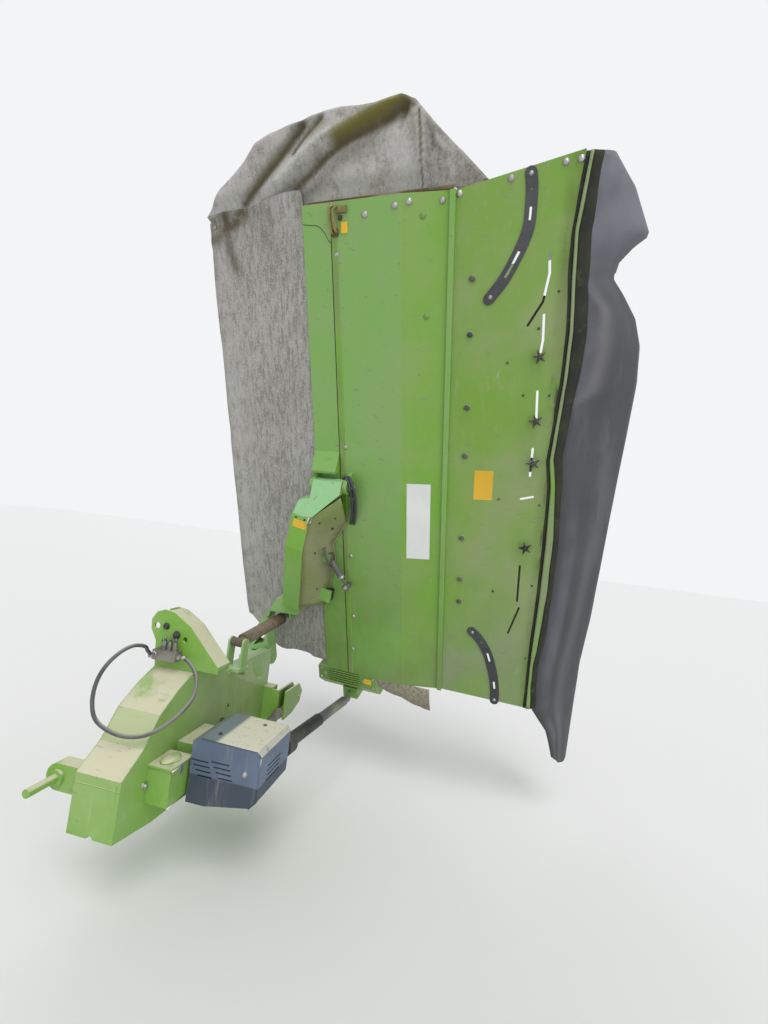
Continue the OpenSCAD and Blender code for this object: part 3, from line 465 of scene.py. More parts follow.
class Shape:
    """Faces gathered into one mesh, with one material slot each."""

    def __init__(self):
        self.points, self.faces, self.kinds, self.smooth = [], [], [], []

    def add(self, points, faces, at=None, kind=0, smooth=False):
        start = len(self.points)
        self.points += [(at @ Vector(p)) if at else Vector(p) for p in points]
        for face in faces:
            self.faces.append([start + i for i in face])
            self.kinds.append(kind)
            self.smooth.append(smooth)

    def lathe(self, profile, at=None, sides=20, kind=0, smooth=True, turn=0.0):
        """A profile of (radius, height) turned about z; a radius of 0 closes it."""
        points, rings = [], []
        for radius, height in profile:
            count = 1 if radius < 1e-7 else sides
            rings.append(list(range(len(points), len(points) + count)))
            for k in range(count):
                a = turn + math.tau * k / sides
                points.append((radius * math.cos(a), radius * math.sin(a), height))
        faces = []
        for low, high in zip(rings, rings[1:]):
            for k in range(sides):
                n = (k + 1) % sides
                quad = [low[k % len(low)], low[n % len(low)], high[n % len(high)], high[k % len(high)]]
                face = list(dict.fromkeys(quad))
                if len(face) > 2:
                    faces.append(face)
        self.add(points, faces, at, kind, smooth)

    def disc(self, radius, height, at, sides, kind, smooth=True):
        self.lathe([(0, 0), (radius, 0), (radius, height), (0, height)], at, sides, kind, smooth)

    def prism(self, outline, low, high, at=None, kind=0, edge=0.0):
        """An outline in x and y, counter-clockwise, from z low to z high, with a chamfered top."""
        n = len(outline)
        rings = [[(x, y, low) for x, y in outline], [(x, y, high - edge) for x, y in outline]]
        if edge:
            inner = []
            for i in range(n):
                a, b, c = (Vector(outline[(i + k) % n]) for k in (-1, 0, 1))
                d, e = (b - a).normalized(), (c - b).normalized()
                m = Vector((-d.y - e.y, d.x + e.x))
                m = m / max(m.length_squared / 2, 0.3)
                inner.append((b.x + m.x * edge, b.y + m.y * edge, high))
            rings.append(inner)
        points = [p for ring in rings for p in ring]
        faces = [list(range(n))[::-1], list(range(len(points) - n, len(points)))]
        self.add(points, faces + faces_between(len(rings), n), at, kind)

    def block(self, low, high, at=None, kind=0, edge=0.002):
        outline = [(low[0], low[1]), (high[0], low[1]), (high[0], high[1]), (low[0], high[1])]
        self.prism(outline, low[2], high[2], at, kind, edge)

    def tube(self, path, radius, sides=10, kind=0, at=None, ends=True):
        pts = [Vector(p) for p in path]
        radii = radius if isinstance(radius, (list, tuple)) else [radius] * len(pts)
        up = Vector((0, 0, 1)) if abs((pts[1] - pts[0]).normalized().z) < 0.9 else Vector((1, 0, 0))
        points = []
        for i, p in enumerate(pts):
            d = (pts[min(i + 1, len(pts) - 1)] - pts[max(i - 1, 0)]).normalized()
            side = d.cross(up).normalized()
            up = side.cross(d)
            turns = [math.tau * k / sides for k in range(sides)]
            points += [p + radii[i] * (math.cos(turn) * side + math.sin(turn) * up) for turn in turns]
        faces = faces_between(len(pts), sides)
        if ends:
            faces += [list(range(sides))[::-1], list(range(len(points) - sides, len(points)))]
        self.add(points, faces, at, kind, True)

    def ribbon(self, path, width, low, high, at=None, kind=0):
        """A flat strip with round ends along a path in x and y."""
        pts = [Vector((p[0], p[1])) for p in path]
        left, back = [], []
        for i, p in enumerate(pts):
            d = (pts[min(i + 1, len(pts) - 1)] - pts[max(i - 1, 0)]).normalized()
            n = Vector((-d.y, d.x)) * width / 2
            left.append(p - n)
            back.append(p + n)
        ends = []
        for p, q in ((pts[-1], pts[-2]), (pts[0], pts[1])):
            d = (p - q).normalized()
            n = Vector((-d.y, d.x))
            ends.append([p + (math.sin(a) * d - math.cos(a) * n) * width / 2
                         for a in (math.pi * k / 8 for k in range(1, 8))])
        outline = left + ends[0] + back[::-1] + ends[1]
        self.prism([(p.x, p.y) for p in outline], low, high, at, kind, 0.001)

    def bolt(self, at, size=0.016, kind=0, washer=True, dome=False):
        """A hexagon or domed head on its washer; z is the way out of the surface."""
        z = 0.0
        if washer:
            self.lathe([(0, 0), (size * 1.02, 0), (size * 1.05, size * 0.14), (0, size * 0.16)], at, 18, kind)
            z = size * 0.15
        if dome:
            self.lathe([(size * 0.85, z), (size * 0.8, z + size * 0.22), (size * 0.5, z + size * 0.46),
                        (0, z + size * 0.54)], at, 18, kind)
            return
        r = size * 0.9
        head = [(r, z), (r, z + size * 0.48), (r * 0.86, z + size * 0.6), (0, z + size * 0.6)]
        stem = [(size * 0.42, z + size * 0.58), (size * 0.4, z + size * 0.78), (0, z + size * 0.82)]
        self.lathe(head, at, 6, kind, False)
        self.lathe(stem, at, 12, kind)

    def make(self, name, finish, body, at=None, bevel=0.0):
        mesh = bpy.data.meshes.new(name)
        mesh.from_pydata(self.points, [], self.faces)
        for key in (finish if isinstance(finish, (list, tuple)) else [finish]):
            mesh.materials.append(finishes[key])
        mesh.polygons.foreach_set("material_index", self.kinds)
        mesh.polygons.foreach_set("use_smooth", self.smooth)
        mesh.update()
        mesh.validate()
        piece = new_object(name, mesh)
        if at:
            piece.matrix_world = at
        if bevel:
            soft = piece.modifiers.new("bevel", "BEVEL")
            soft.width = bevel
            soft.segments = 2
            soft.limit_method = "ANGLE"
        if body:
            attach(piece, body)
        return piece


def frame_at(point, out, across=(1, 0, 0)):
    """A frame at a point whose z is the way out of a surface."""
    z = Vector(out).normalized()
    y = z.cross(Vector(across)).normalized()
    x = y.cross(z)
    return Matrix.Translation(point) @ Matrix((x, y, z)).transposed().to_4x4()


# Hydraulic hose from the valve block round and back, with the route of the CAD source
HOSE_ROUTE = [(-121, -150, 485), (-150, -150, 488), (-195, -158, 518), (-240, -172, 550), (-310, -165, 566),
              (-370, -145, 545), (-415, -118, 490), (-437, -100, 420), (-448, -102, 340), (-450, -130, 270),
              (-440, -195, 228), (-420, -272, 210), (-390, -345, 220), (-340, -400, 255), (-270, -432, 300),
              (-205, -440, 350), (-155, -415, 410), (-122, -365, 455), (-96, -300, 480), (-95, -261.5, 480)]
hose_line = spline([HITCH @ (Vector(p) * MM) for p in HOSE_ROUTE], 4)
hose_curve = bpy.data.curves.new("hose_loop", "CURVE")
hose_curve.dimensions = "3D"
run = hose_curve.splines.new("POLY")
run.points.add(len(hose_line) - 1)
for point, p in zip(run.points, hose_line):
    point.co = (*p, 1)
hose_curve.bevel_depth = 0.009
hose_curve.bevel_resolution = 4
hose_curve.use_fill_caps = True
hose_curve.materials.append(finishes["hose_rubber"])
hose_loop = new_object("hose_loop", hose_curve)
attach(hose_loop, "headstock")
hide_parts("hose")
ends = Shape()
for tip, inner in ((hose_line[0], hose_line[3]), (hose_line[-1], hose_line[-4])):
    into = frame_at(tip, inner - tip, PLUS_Z)
    ends.lathe([(0, -0.003), (0.015, -0.003), (0.015, 0.011), (0.0125, 0.013), (0, 0.013)], into, 6, 0, False)
    ends.lathe([(0, 0.012), (0.0115, 0.012), (0.0118, 0.040), (0.0098, 0.043), (0, 0.043)], into, 16)
hose_ends = ends.make("hose_ends", "bolt_steel", "headstock")


# Cloth and rubber sheets, in the mower's own axes: u along the hood, v forward, w up when mowing

def sheet_mesh(name, rows, thickness, finish, stains=None):
    """A grid of points made into a closed thin sheet; its upper side is where the grid is."""
    count, width = len(rows), len(rows[0])
    grid = [[Vector(p) for p in row] for row in rows]
    under = []
    for i in range(count):
        for j in range(width):
            across = grid[i][min(j + 1, width - 1)] - grid[i][max(j - 1, 0)]
            onward = grid[min(i + 1, count - 1)][j] - grid[max(i - 1, 0)][j]
            normal = onward.cross(across)
            normal = normal.normalized() if normal.length > 1e-12 else Vector((0, 0, 1))
            under.append(grid[i][j] - normal * thickness)
    points = [p for row in grid for p in row] + under
    half = count * width
    faces = []
    for i in range(count - 1):
        for j in range(width - 1):
            a, b = i * width + j, (i + 1) * width + j
            faces.append([a, b, b + 1, a + 1])
            faces.append([half + a + 1, half + b + 1, half + b, half + a])
    rim = ([(0, j) for j in range(width)] + [(i, width - 1) for i in range(1, count)]
           + [(count - 1, j) for j in range(width - 2, -1, -1)] + [(i, 0) for i in range(count - 2, 0, -1)])
    loop = [i * width + j for i, j in rim]
    for k, a in enumerate(loop):
        b = loop[(k + 1) % len(loop)]
        faces.append([a, b, half + b, half + a])
    shape = Shape()
    shape.add(points, faces, smooth=True)
    piece = shape.make(name, finish, None, MOWER)
    if stains:
        layer = piece.data.attributes.new("stains", "FLOAT_COLOR", "POINT")
        tones = [(*[min(max(c, 0.0), 1.0) for c in mark], 1.0) for row in stains for mark in row]
        layer.data.foreach_set("color", [c for tone in tones + tones for c in tone])
    return piece


def ruffle(x, y, scale, seed):
    return noise.noise(Vector((x * scale[0], y * scale[1], seed)))


def line_distance(x, y, line):
    best = 9.0
    p = Vector((x, y))
    for a, b in zip(line, line[1:]):
        a, b = Vector(a) * MM, Vector(b) * MM
        d = b - a
        t = min(max((p - a).dot(d) / d.length_squared, 0), 1)
        best = min(best, (p - a - t * d).length)
    return best


def creases(x, y, folds):
    """Height of the folds at (x, y), each a line with its depth and width."""
    return sum(depth * math.exp(-(line_distance(x, y, line) / width) ** 2) for line, depth, width in folds)


def marks_on(x, y, drawn):
    """How near (x, y) is to any of the lines: a line's share on it, falling to 0 over its width."""
    return max(math.exp(-(line_distance(x, y, line) / width) ** 2) * share for line, width, share in drawn)


CLOTH_THICK = 0.0022

# Front guard cloth: flat on its frame, over the front bar and down
TARP_EDGE = [(0.0, 1.500), (0.259, 1.496), (0.773, 1.492), (1.5, 1.484), (2.3, 1.474), (2.66, 1.466),
             (2.90, 1.456)]
TARP_END = [(0.806, 2.868), (0.812, 2.925), (0.822, 2.942), (0.860, 2.944), (0.960, 2.942), (1.076, 2.926),
            (1.192, 2.896), (1.349, 2.896), (1.420, 2.890), (1.520, 2.878)]
TARP_CREASES = [([(2890, 1200), (2820, 1290), (2760, 1450)], -0.012, 0.030),
                ([(2880, 1330), (2700, 1330), (2600, 1290)], -0.010, 0.035),
                ([(259, 1500), (420, 1330), (700, 1240)], 0.012, 0.05),
                ([(1900, 840), (1700, 1100), (1650, 1460)], 0.006, 0.05)]
TARP_ROWS, TARP_COLS = 120, 70
TARP_FRONT, TARP_REACH = 0.807, 0.69
TARP_FLAT, SKIRT_DROP = 0.6, 0.60
rows, stains = [], []
for i in range(TARP_ROWS + 1):
    s = i / TARP_ROWS
    row, marks = [], []
    for j in range(TARP_COLS + 1):
        t = j / TARP_COLS
        a = min(t / TARP_FLAT, 1.0) ** 1.15
        v = TARP_FRONT + a * TARP_REACH
        low = 0.045 + 0.215 * smoothstep(1.20, 1.50, v)
        u = low + (along(TARP_END, v) - low) * s
        v = TARP_FRONT + a * (along(TARP_EDGE, u) - TARP_FRONT)
        w = -0.012 - 0.060 * a
        w = max(w, -0.041) if u > 2.87 else w
        hold = smoothstep(0.0, 0.12, a)
        w += (0.007 * ruffle(u, v, (2.2, 5.5), 1.3) + 0.004 * ruffle(u, v, (7, 11), 4.1)) * hold
        w -= creases(u, v, TARP_CREASES) * smoothstep(0, 0.2, a)
        w -= 0.024 * smoothstep(0.20, 0.06, u) * smoothstep(0.92, 0.99, v) * smoothstep(1.17, 1.10, v)
        near_end = smoothstep(2.4, 2.9, u)
        # Second channel: painted shade along the two folds, grime in patches near the outer end, darker
        # towards the front edge; third channel: paler towards the front bar.
        grime_and_shade = (0.75 * marks_on(u, v, [(line, 0.035, 1.0) for line, _, _ in TARP_CREASES[:2]])
                 + 0.30 * near_end * smoothstep(0.0, 0.3, ruffle(u, v, (5, 5), 3.0) + 0.1)
                 + 0.25 * smoothstep(1.42, 1.50, v))
        marks.append((0.0, grime_and_shade, 0.45 * smoothstep(0.55, 1.0, a) * (1 - near_end)))
        if t > TARP_FLAT:
            b = (t - TARP_FLAT) / (1 - TARP_FLAT)
            down = SKIRT_DROP * b
            v += 0.016 * math.sin(min(down / 0.03, 1.0) * math.pi / 2)
            flutter = 0.012 * ruffle(u, down, (5, 2), 7.7) + 0.01 * ruffle(u, down, (11, 1), 2.2)
            v += flutter * smoothstep(0.03, 0.2, b)
            w -= down
            hem = smoothstep(0.955, 0.962, b) * smoothstep(0.972, 0.965, b)
            hem = max(hem, 0.35 * smoothstep(0.80, 1.0, b))
            marks[-1] = (0.0, max(marks[-1][1] * (1 - b), 0.8 * hem), marks[-1][2] * (1 - 0.5 * b))
        row.append((u, v, w))
    rows.append(row)
    stains.append(marks)
front_tarp = sheet_mesh("front_guard_cloth", rows, CLOTH_THICK, "tarpaulin", stains=stains)
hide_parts("front_tarp")
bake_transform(front_tarp)

# Outer guard cloth: over the guard's bars in deep folds, and down its sides
HUMP_RIM = [(2.880, 1.462), (2.946, 1.400), (3.003, 1.336), (3.052, 1.252), (3.112, 1.158), (3.184, 1.086),
            (3.212, 0.995), (3.238, 0.890), (3.254, 0.790), (3.268, 0.680), (3.272, 0.576), (3.262, 0.480),
            (3.258, 0.400), (3.266, 0.320), (3.270, 0.262), (3.250, 0.205), (3.200, 0.158), (3.132, 0.090),
            (3.038, -0.012), (2.905, -0.140)]
VALLEY_A = [(3215, 262), (3180, 400), (3150, 520), (3100, 640), (3040, 760), (2975, 870), (2935, 925)]
RIDGE_A = [(3258, 275), (3240, 373), (3212, 474), (3182, 570), (3150, 690), (3060, 843), (2985, 960)]
VALLEY_B = [(3236, 800), (3150, 900), (3062, 1015), (2990, 1108), (2925, 1190)]
RIDGE_B = [(3215, 1000), (3120, 1100), (3020, 1215), (2950, 1300)]
VALLEY_C = [(3250, 690), (3187, 788), (3120, 862)]
HUMP_FOLDS = [(VALLEY_A, -0.026, 0.040), (RIDGE_A, 0.036, 0.032), (VALLEY_B, -0.030, 0.034),
              (RIDGE_B, 0.020, 0.040), (VALLEY_C, -0.020, 0.018),
              ([(3258, 217), (3206, 243), (3148, 268)], -0.020, 0.014),
              ([(3288, 262), (3225, 205), (3150, 185), (3000, 168)], 0.014, 0.016),
              ([(3110, 103), (3032, 45), (2905, 12)], 0.024, 0.018),
              ([(3130, 140), (3040, 100), (2910, 78)], -0.014, 0.020)]
SEAM = [(3205, 170), (3120, 163), (3000, 158), (2884, 156)]
MOSS_BAND = [(3150, 590), (3188, 490), (3218, 385), (3248, 285), (3252, 240)]
SHADOW_A = [(2950, 880), (3020, 755), (3070, 690), (3125, 590), (3165, 450), (3200, 320), (3232, 235)]
rim_length = [0.0]
for a, b in zip(HUMP_RIM, HUMP_RIM[1:]):
    rim_length.append(rim_length[-1] + (Vector(b) - Vector(a)).length)
rim_u, rim_v = ([(l / rim_length[-1], p[axis]) for l, p in zip(rim_length, HUMP_RIM)] for axis in (0, 1))
HUMP_ROWS, HUMP_COLS = 190, 96
HUMP_TOP, HUMP_DROP = 0.62, 0.44
# Lines of the stains: moss; under, painted shade beneath the ridges and along the valleys; the seam's dark
# line; pale, painted highlight on lit ridges.
LINE_MARKS = {
    "moss": [(MOSS_BAND, 0.046, 1.0), (VALLEY_B[:3], 0.030, 0.35), ([(3225, 690), (3190, 770)], 0.03, 0.45),
             ([(3190, 180), (3110, 172)], 0.020, 0.30)],
    "under": [(SHADOW_A[2:], 0.026, 1.0), (SHADOW_A[:3], 0.036, 0.95), (VALLEY_B, 0.027, 1.0),
              (VALLEY_C, 0.014, 0.8), ([(3262, 250), (3225, 200)], 0.016, 0.9),
              ([(x - 55, y - 30) for x, y in SHADOW_A[:5]], 0.050, 0.45)],
    "seam": [(SEAM, 0.0055, 1.0)],
    "pale": [([(3240, 715), (3110, 850), (2985, 930)], 0.016, 0.8), ([(3100, 95), (2910, 10)], 0.012, 0.8)],
}
rows, stains = [], []
for i in range(HUMP_ROWS + 1):
    s = i / HUMP_ROWS
    base = Vector((2.884 - 0.012 * smoothstep(0.04, 0.0, s), 1.448 - 1.568 * s))
    beside_hinge = smoothstep(0.793, 0.799, base.y) * smoothstep(0.83, 0.82, base.y)
    base.x -= 0.015 * (smoothstep(-0.003, -0.010, base.y) + beside_hinge)
    rim = Vector((along(rim_u, s), along(rim_v, s)))
    row, marks = [], []
    for j in range(HUMP_COLS + 1):
        t = j / HUMP_COLS
        a = min(t / HUMP_TOP, 1.0)
        u, v = base.lerp(rim, a)
        inner = smoothstep(2.900, 2.965, u) * (1 - smoothstep(0.95, 1.0, a) * 0.5)
        front = smoothstep(0.158, 0.138, v)
        w = -0.052 + 0.026 * smoothstep(2.915, 2.985, u) * (1 - front)
        w -= front * (0.030 + 0.30 * max(u - 2.884, 0) * smoothstep(0.12, 0.0, v))
        w += creases(u, v, HUMP_FOLDS) * inner * (1 - 0.5 * front)
        w += (0.007 * ruffle(u, v, (6, 4), 3.3) + 0.003 * ruffle(u, v, (16, 14), 5.5)) * inner
        if v > 0.135 and u < 3.19:
            w = max(w, -0.0505)
        moss, under, seam, pale = (marks_on(u, v, drawn) for drawn in LINE_MARKS.values())
        moss *= smoothstep(0.155, 0.19, v)
        # Darker near the inner edge low down, painted shade on the panel right of the seam and on the dropped
        # front panel, painted highlight over the lit top.
        dirt_and_shade = 0.22 * smoothstep(3.02, 2.90, u) * smoothstep(0.9, 0.3, v) + 0.34 * smoothstep(0.05, -0.02, v)
        highlight_tone = max(0.55 * (1 - under) * (1 - moss) * smoothstep(0.14, 0.2, v), pale)
        marks.append((moss, max(under, dirt_and_shade, seam, 0.30 * front), highlight_tone))
        if t > HUMP_TOP:
            b = (t - HUMP_TOP) / (1 - HUMP_TOP)
            down = HUMP_DROP * b
            out = rim - base
            out = out.normalized() if out.length > 0.05 else Vector((0.4, 0.9 if s < 0.5 else -0.9))
            wave = 0.016 * ruffle(s * 3.2, down, (4, 1.5), 9.1) + 0.008 * ruffle(s * 3.2, down, (11, 2), 1.1)
            push = 0.018 * math.sin(min(down / 0.04, 1.0) * math.pi / 2) - 0.028 * b
            push += wave * smoothstep(0.05, 0.4, b)
            u, v = Vector((u, v)) + out * push
            w -= down
        row.append((u, v, w))
    rows.append(row)
    stains.append(marks)
hump = sheet_mesh("outer_guard_cloth", rows, CLOTH_THICK, "tarpaulin", stains=stains)
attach(hump, "outer_guard")
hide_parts("outer_tarp")

# Rear curtain: rubber from the gutter of the swath hood, bulging back and curling down
CURTAIN_EDGE = [(-0.557, -0.822), (-0.074, -0.833), (0.250, -0.837), (0.558, -0.865), (0.913, -0.883),
                (1.254, -0.898), (1.631, -0.918), (1.962, -0.932), (2.138, -0.922), (2.269, -0.884),
                (2.379, -0.818), (2.459, -0.760), (2.534, -0.778), (2.603, -0.838), (2.644, -0.895),
                (2.854, -0.806), (3.000, -0.705)]
CURTAIN_ROOT = [(-0.545, -0.752), (-0.370, -0.712), (-0.256, -0.684), (-0.130, -0.610), (-0.07, -0.574),
                (0.204, -0.556), (0.393, -0.578), (0.716, -0.598), (1.093, -0.604), (1.40, -0.588),
                (1.56, -0.566), (1.75, -0.570), (1.95, -0.588), (2.66, -0.574), (2.985, -0.600)]
CURTAIN_RIDGE = [(2.996, 0.16), (2.711, 0.12), (2.45, 0.30), (2.316, 0.56), (2.12, 0.50), (1.912, 0.40),
                 (1.801, 0.02)]
CURTAIN_ROWS, CURTAIN_COLS = 170, 52
CURTAIN_START, CURTAIN_LEN = -0.50, 3.485
rows, stains = [], []
for i in range(CURTAIN_ROWS + 1):
    u = CURTAIN_START + CURTAIN_LEN * i / CURTAIN_ROWS
    edge, root = along(CURTAIN_EDGE, u), along(CURTAIN_ROOT, u)
    lifted = smoothstep(2.40, 2.56, u)
    tail = smoothstep(-0.05, -0.50, u)
    reach = edge - root
    line = spline([(0, root, -0.172 - 0.09 * tail),
                   (0, root + reach * 0.42, -0.186 - 0.05 * tail),
                   (0, root + reach * 0.86, -0.235 + 0.01 * lifted),
                   (0, edge, -0.300 - 0.02 * tail),
                   (0, edge + (0.035 if lifted < 0.5 else 0.0) + 0.03 * tail, -0.42 + 0.10 * lifted),
                   (0, edge + 0.09 - 0.09 * lifted + 0.02 * tail, -0.60 + 0.27 * lifted)], 12)
    total = len(line) - 1
    ridge = along(sorted(CURTAIN_RIDGE), u) if u > 1.80 else 0.0
    row, marks = [], []
    for j in range(CURTAIN_COLS + 1):
        x = j / CURTAIN_COLS * total
        k = min(int(x), total - 1)
        p = line[k].lerp(line[k + 1], x - k)
        t = j / CURTAIN_COLS
        across = (root - p.y) / max(root - edge, 0.05) if t < 0.6 else 1.0
        sway = smoothstep(0.08, 0.5, t)
        wave = (0.020 * ruffle(u, t, (1.6, 1.2), 6.6) + 0.006 * ruffle(u, t, (6, 3), 8.2)) * sway
        fold = math.exp(-((across - ridge) / 0.10) ** 2) * smoothstep(1.78, 1.95, u)
        low_fold = math.exp(-((across - 0.62 - 0.1 * u) / 0.09) ** 2) * smoothstep(1.5, 0.9, u)
        wave += 0.012 * fold + 0.012 * low_fold
        row.append((u + 0.018 * tail * (t - 0.5), p.y + wave * 0.25, p.z + wave))
        # Stains: painted highlight, pale, at the outer end, on the fold's ridge and in a band along its inner
        # part; painted shade under the gutter at the root and where the sheet curls under; painted highlight
        # on the folds.
        end_highlight = 0.80 * smoothstep(2.3, 2.75, u) * smoothstep(0.05, 0.25, across)
        ridge_highlight = (0.50 * smoothstep(ridge + 0.06, ridge - 0.06, across) * smoothstep(0.9, 1.9, u)
                      * smoothstep(0.1, 0.3, across))
        band_highlight = (0.40 * smoothstep(0.50, 0.40, across) * smoothstep(0.20, 0.32, across)
                     * smoothstep(1.6, 1.0, u))
        pale = max(end_highlight, ridge_highlight, band_highlight)
        dark = 0.75 * smoothstep(0.22, 0.08, across) + 0.45 * smoothstep(0.80, 1.0, across) * (1 - pale)
        marks.append((dark, 0.30 * fold * smoothstep(2.5, 2.3, u) + 0.20 * low_fold, pale * (1 - 0.7 * dark)))
    rows.append(row)
    stains.append(marks)
curtain = sheet_mesh("rear_rubber_curtain", rows, 0.005, "curtain_rubber", stains=stains)
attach(curtain, "mower")
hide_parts("rear_curtain")

# Flap of dusty cloth under the inner end of the hood
FLAP_ROWS, FLAP_COLS = 30, 40
rows, stains = [], []
for i in range(FLAP_ROWS + 1):
    s = i / FLAP_ROWS
    row = []
    for j in range(FLAP_COLS + 1):
        t = j / FLAP_COLS
        v = 0.430 - 0.37 * t
        swell = math.sin(math.pi * min(t * 1.25, 1.0))
        u = -0.004 - s * (0.090 + 0.060 * swell + 0.10 * smoothstep(0.35, 0.9, t))
        w = -0.020 - 0.030 * s * s - 0.020 * math.sin(math.pi * t) * s + 0.010 * ruffle(u, v, (9, 7), 2.9) * s
        row.append((u, v, w))
    rows.append(row[::-1])
    # Darker towards its hanging end: painted shade under the hood.
    stains.append([(0.0, 0.45 * s * s, 0.0)] * (FLAP_COLS + 1))
flap = sheet_mesh("inner_end_flap", rows, 0.004, "flap_cloth", stains=stains)
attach(flap, "mower")
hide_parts("inner_flap")


# Fittings of the hood

def roof(v):
    """Upper face of the swath hood."""
    return -0.053 + (v + 0.010) * 0.16870


ROOF_SIN, ROOF_COS = 0.1663, 0.98607
ROOF_TILT = frame_at((0, 0, 0), (0, -ROOF_SIN, ROOF_COS)).to_3x3()


def on_roof(u, v, lift=0.0):
    p = Vector((u * MM, v * MM, roof(v * MM)))
    return Matrix.Translation(p + ROOF_TILT.col[2] * lift) @ ROOF_TILT.to_4x4()


HOOD_BEND = 0.249


def on_hood(u, v):
    """The hood's top is level down to its bend and slopes behind it."""
    v *= MM
    w = 0.0 if v > HOOD_BEND else -0.047 * (HOOD_BEND - v) / 0.235
    tilt = PLUS_Z if v > HOOD_BEND else (0, -0.196, 0.98)
    return frame_at((u * MM, v, w), tilt)


bolts = Shape()
for u in (2471, 2206, 1833, 1568, 1076, 809, 659):
    bolts.lathe([(0, 0), (0.021, 0), (0.020, 0.003), (0, 0.003)], on_roof(u, -104), 18, 2)
    bolts.bolt(on_roof(u, -104, 0.002), 0.014, kind=1)
for u, v in ((2066, -300), (1325, -300), (1900, -390), (745, -300), (2230, -440)):
    bolts.bolt(on_roof(u, v), 0.008, kind=1, washer=False)
for u, v in ((2790, 447), (2814, 285), (2826, 212), (2822, 51)):
    bolts.bolt(on_hood(u, v), 0.016, dome=True)
for u, v in ((2845, -28), (2893, -263), (2943, -500), (2950, -566)):
    bolts.bolt(on_roof(u, v), 0.016, dome=True)
for u, v in ((2618, 612), (1588, 600), (889, 590), (453, 587), (200, 600)):
    bolts.bolt(on_hood(u, v), 0.013, dome=True)
for u, v in ((2762, 144), (2300, 120)):
    bolts.lathe([(0, 0), (0.017, 0), (0.0165, 0.0012), (0, 0.0014)], on_hood(u, v), 20, 2)
for u in (2400, 1900, 1300, 800, 300):
    bolts.bolt(on_roof(u, -520), 0.007, kind=1, washer=False)
bolts.make("hood_bolts", ("bolt_steel", "dark_bolt", "hood_paint"), "mower", MOWER)


# Eyelets of the front guard's cloth

def on_tarp(u, v):
    w = -0.012 - 0.060 * (v - 807) / 670 if u < 2870 else -0.040
    return frame_at((u * MM, v * MM, w), PLUS_Z)


rivets = Shape()
for u, v, size in ((2925, 850, 0.011), (2890, 1192, 0.010), (2830, 1425, 0.008), (1577, 832, 0.013),
                   (700, 1440, 0.008)):
    head = [(size * 0.35, 0.004), (size * 0.5, 0.0055), (size, 0.004), (size * 1.1, 0), (0, 0)]
    # A dark disc in each eyelet, painted shade in its hole.
    hole_shade = [(0, 0.0035), (size * 0.36, 0.0035), (size * 0.36, 0.0045), (0, 0.0045)]
    rivets.lathe(head, on_tarp(u, v), 16)
    rivets.lathe(hole_shade, on_tarp(u, v), 12, 1)
rivets.make("cloth_rivets", ("bolt_steel", "dark_gap"), "mower", MOWER)

# Star knobs with their stems and washers over the slots
knobs = Shape()
STAR = [(0.040 if k % 2 == 0 else 0.0125, k * math.pi / 5 + 0.3) for k in range(10)]
for u, v in ((2094, -452), (1768, -461), (1540, -467), (1044, -462)):
    seat = on_roof(u, v)
    knobs.disc(0.017, 0.003, seat, 16, 1)
    knobs.lathe([(0.006, 0.002), (0.006, 0.024), (0, 0.024)], seat, 10, 1)
    knobs.prism([(r * math.cos(a), r * math.sin(a)) for r, a in STAR], 0.016, 0.034, seat, 0, 0.004)
    knobs.lathe([(0.012, 0.030), (0.011, 0.041), (0.006, 0.044), (0, 0.044)], seat, 14)
knobs.make("star_knobs", ("rubber", "bolt_steel"), "mower", MOWER, bevel=0.0015)

tilted = Matrix.Translation((0, 0, roof(0.0))) @ ROOF_TILT.to_4x4()

# Curved strips of the two spreading plates
ARCS = [[(2912, -351), (2870, -358), (2799, -361), (2689, -357), (2591, -324), (2466, -260), (2372, -188)],
        [(457, -187), (398, -241), (295, -295), (151, -334), (38, -350), (-42, -352)]]
arcs = Shape()
for path in ARCS:
    line = [Vector(p) for p in spline([(u * MM, v * MM / ROOF_COS, 0) for u, v in path], 6)]
    offsets = []
    for k, p in enumerate(line):
        d = (line[min(k + 1, len(line) - 1)] - line[max(k - 1, 0)]).normalized()
        offsets.append(Vector((-d.y, d.x, 0)))
    for way in (1, -1):
        arcs.ribbon([p + n * 0.0172 * way for p, n in zip(line, offsets)], 0.0215, 0.0005, 0.0060, tilted)
    whole = len(line) - 1
    for low, high in ((0, 5), (0.33 * whole, 0.36 * whole), (0.50 * whole, 0.52 * whole),
                      (0.62 * whole, 0.66 * whole), (whole - 5, whole)):
        part = line[int(low):max(int(high), int(low) + 1) + 1]
        arcs.ribbon(part, 0.055, 0.0003, 0.0064, tilted)
    for p in (line[1], line[-2]):
        arcs.bolt(tilted @ Matrix.Translation((p.x, p.y, 0.006)), 0.010, kind=1, dome=True)
arcs.make("arc_strips", ("black_plastic", "bolt_steel"), "mower", MOWER)
# Painted shade: dark strips under the slots of the spreading plates.
slot_shadows = Shape()
for path in ([(2372, -453), (2330, -440), (2240, -382)], [(930, -443), (684, -443)],
              [(652, -459), (461, -402)], [(1556, -459), (1500, -458)]):
    slot_shadows.ribbon([(u * MM, v * MM / ROOF_COS) for u, v in path], 0.024, -0.0085, -0.0050, tilted)
slot_shadows.make("slot_shadow_strips", "dark_gap", "mower", MOWER)

# Bare plates where the machine carries stickers
plates = Shape()
plates.block((-0.085, -0.052, 0), (0.085, 0.052, 0.0012), on_roof(1401, -211), 0, 0.0006)
plates.make("yellow_plate", "yellow_plate", "mower", MOWER)
plates = Shape()
plates.block((-0.235, -0.070, 0.0002), (0.235, 0.070, 0.0014), on_hood(1160, 150), 0, 0.0006)
plates.make("white_plate", "white_plate", "mower", MOWER)

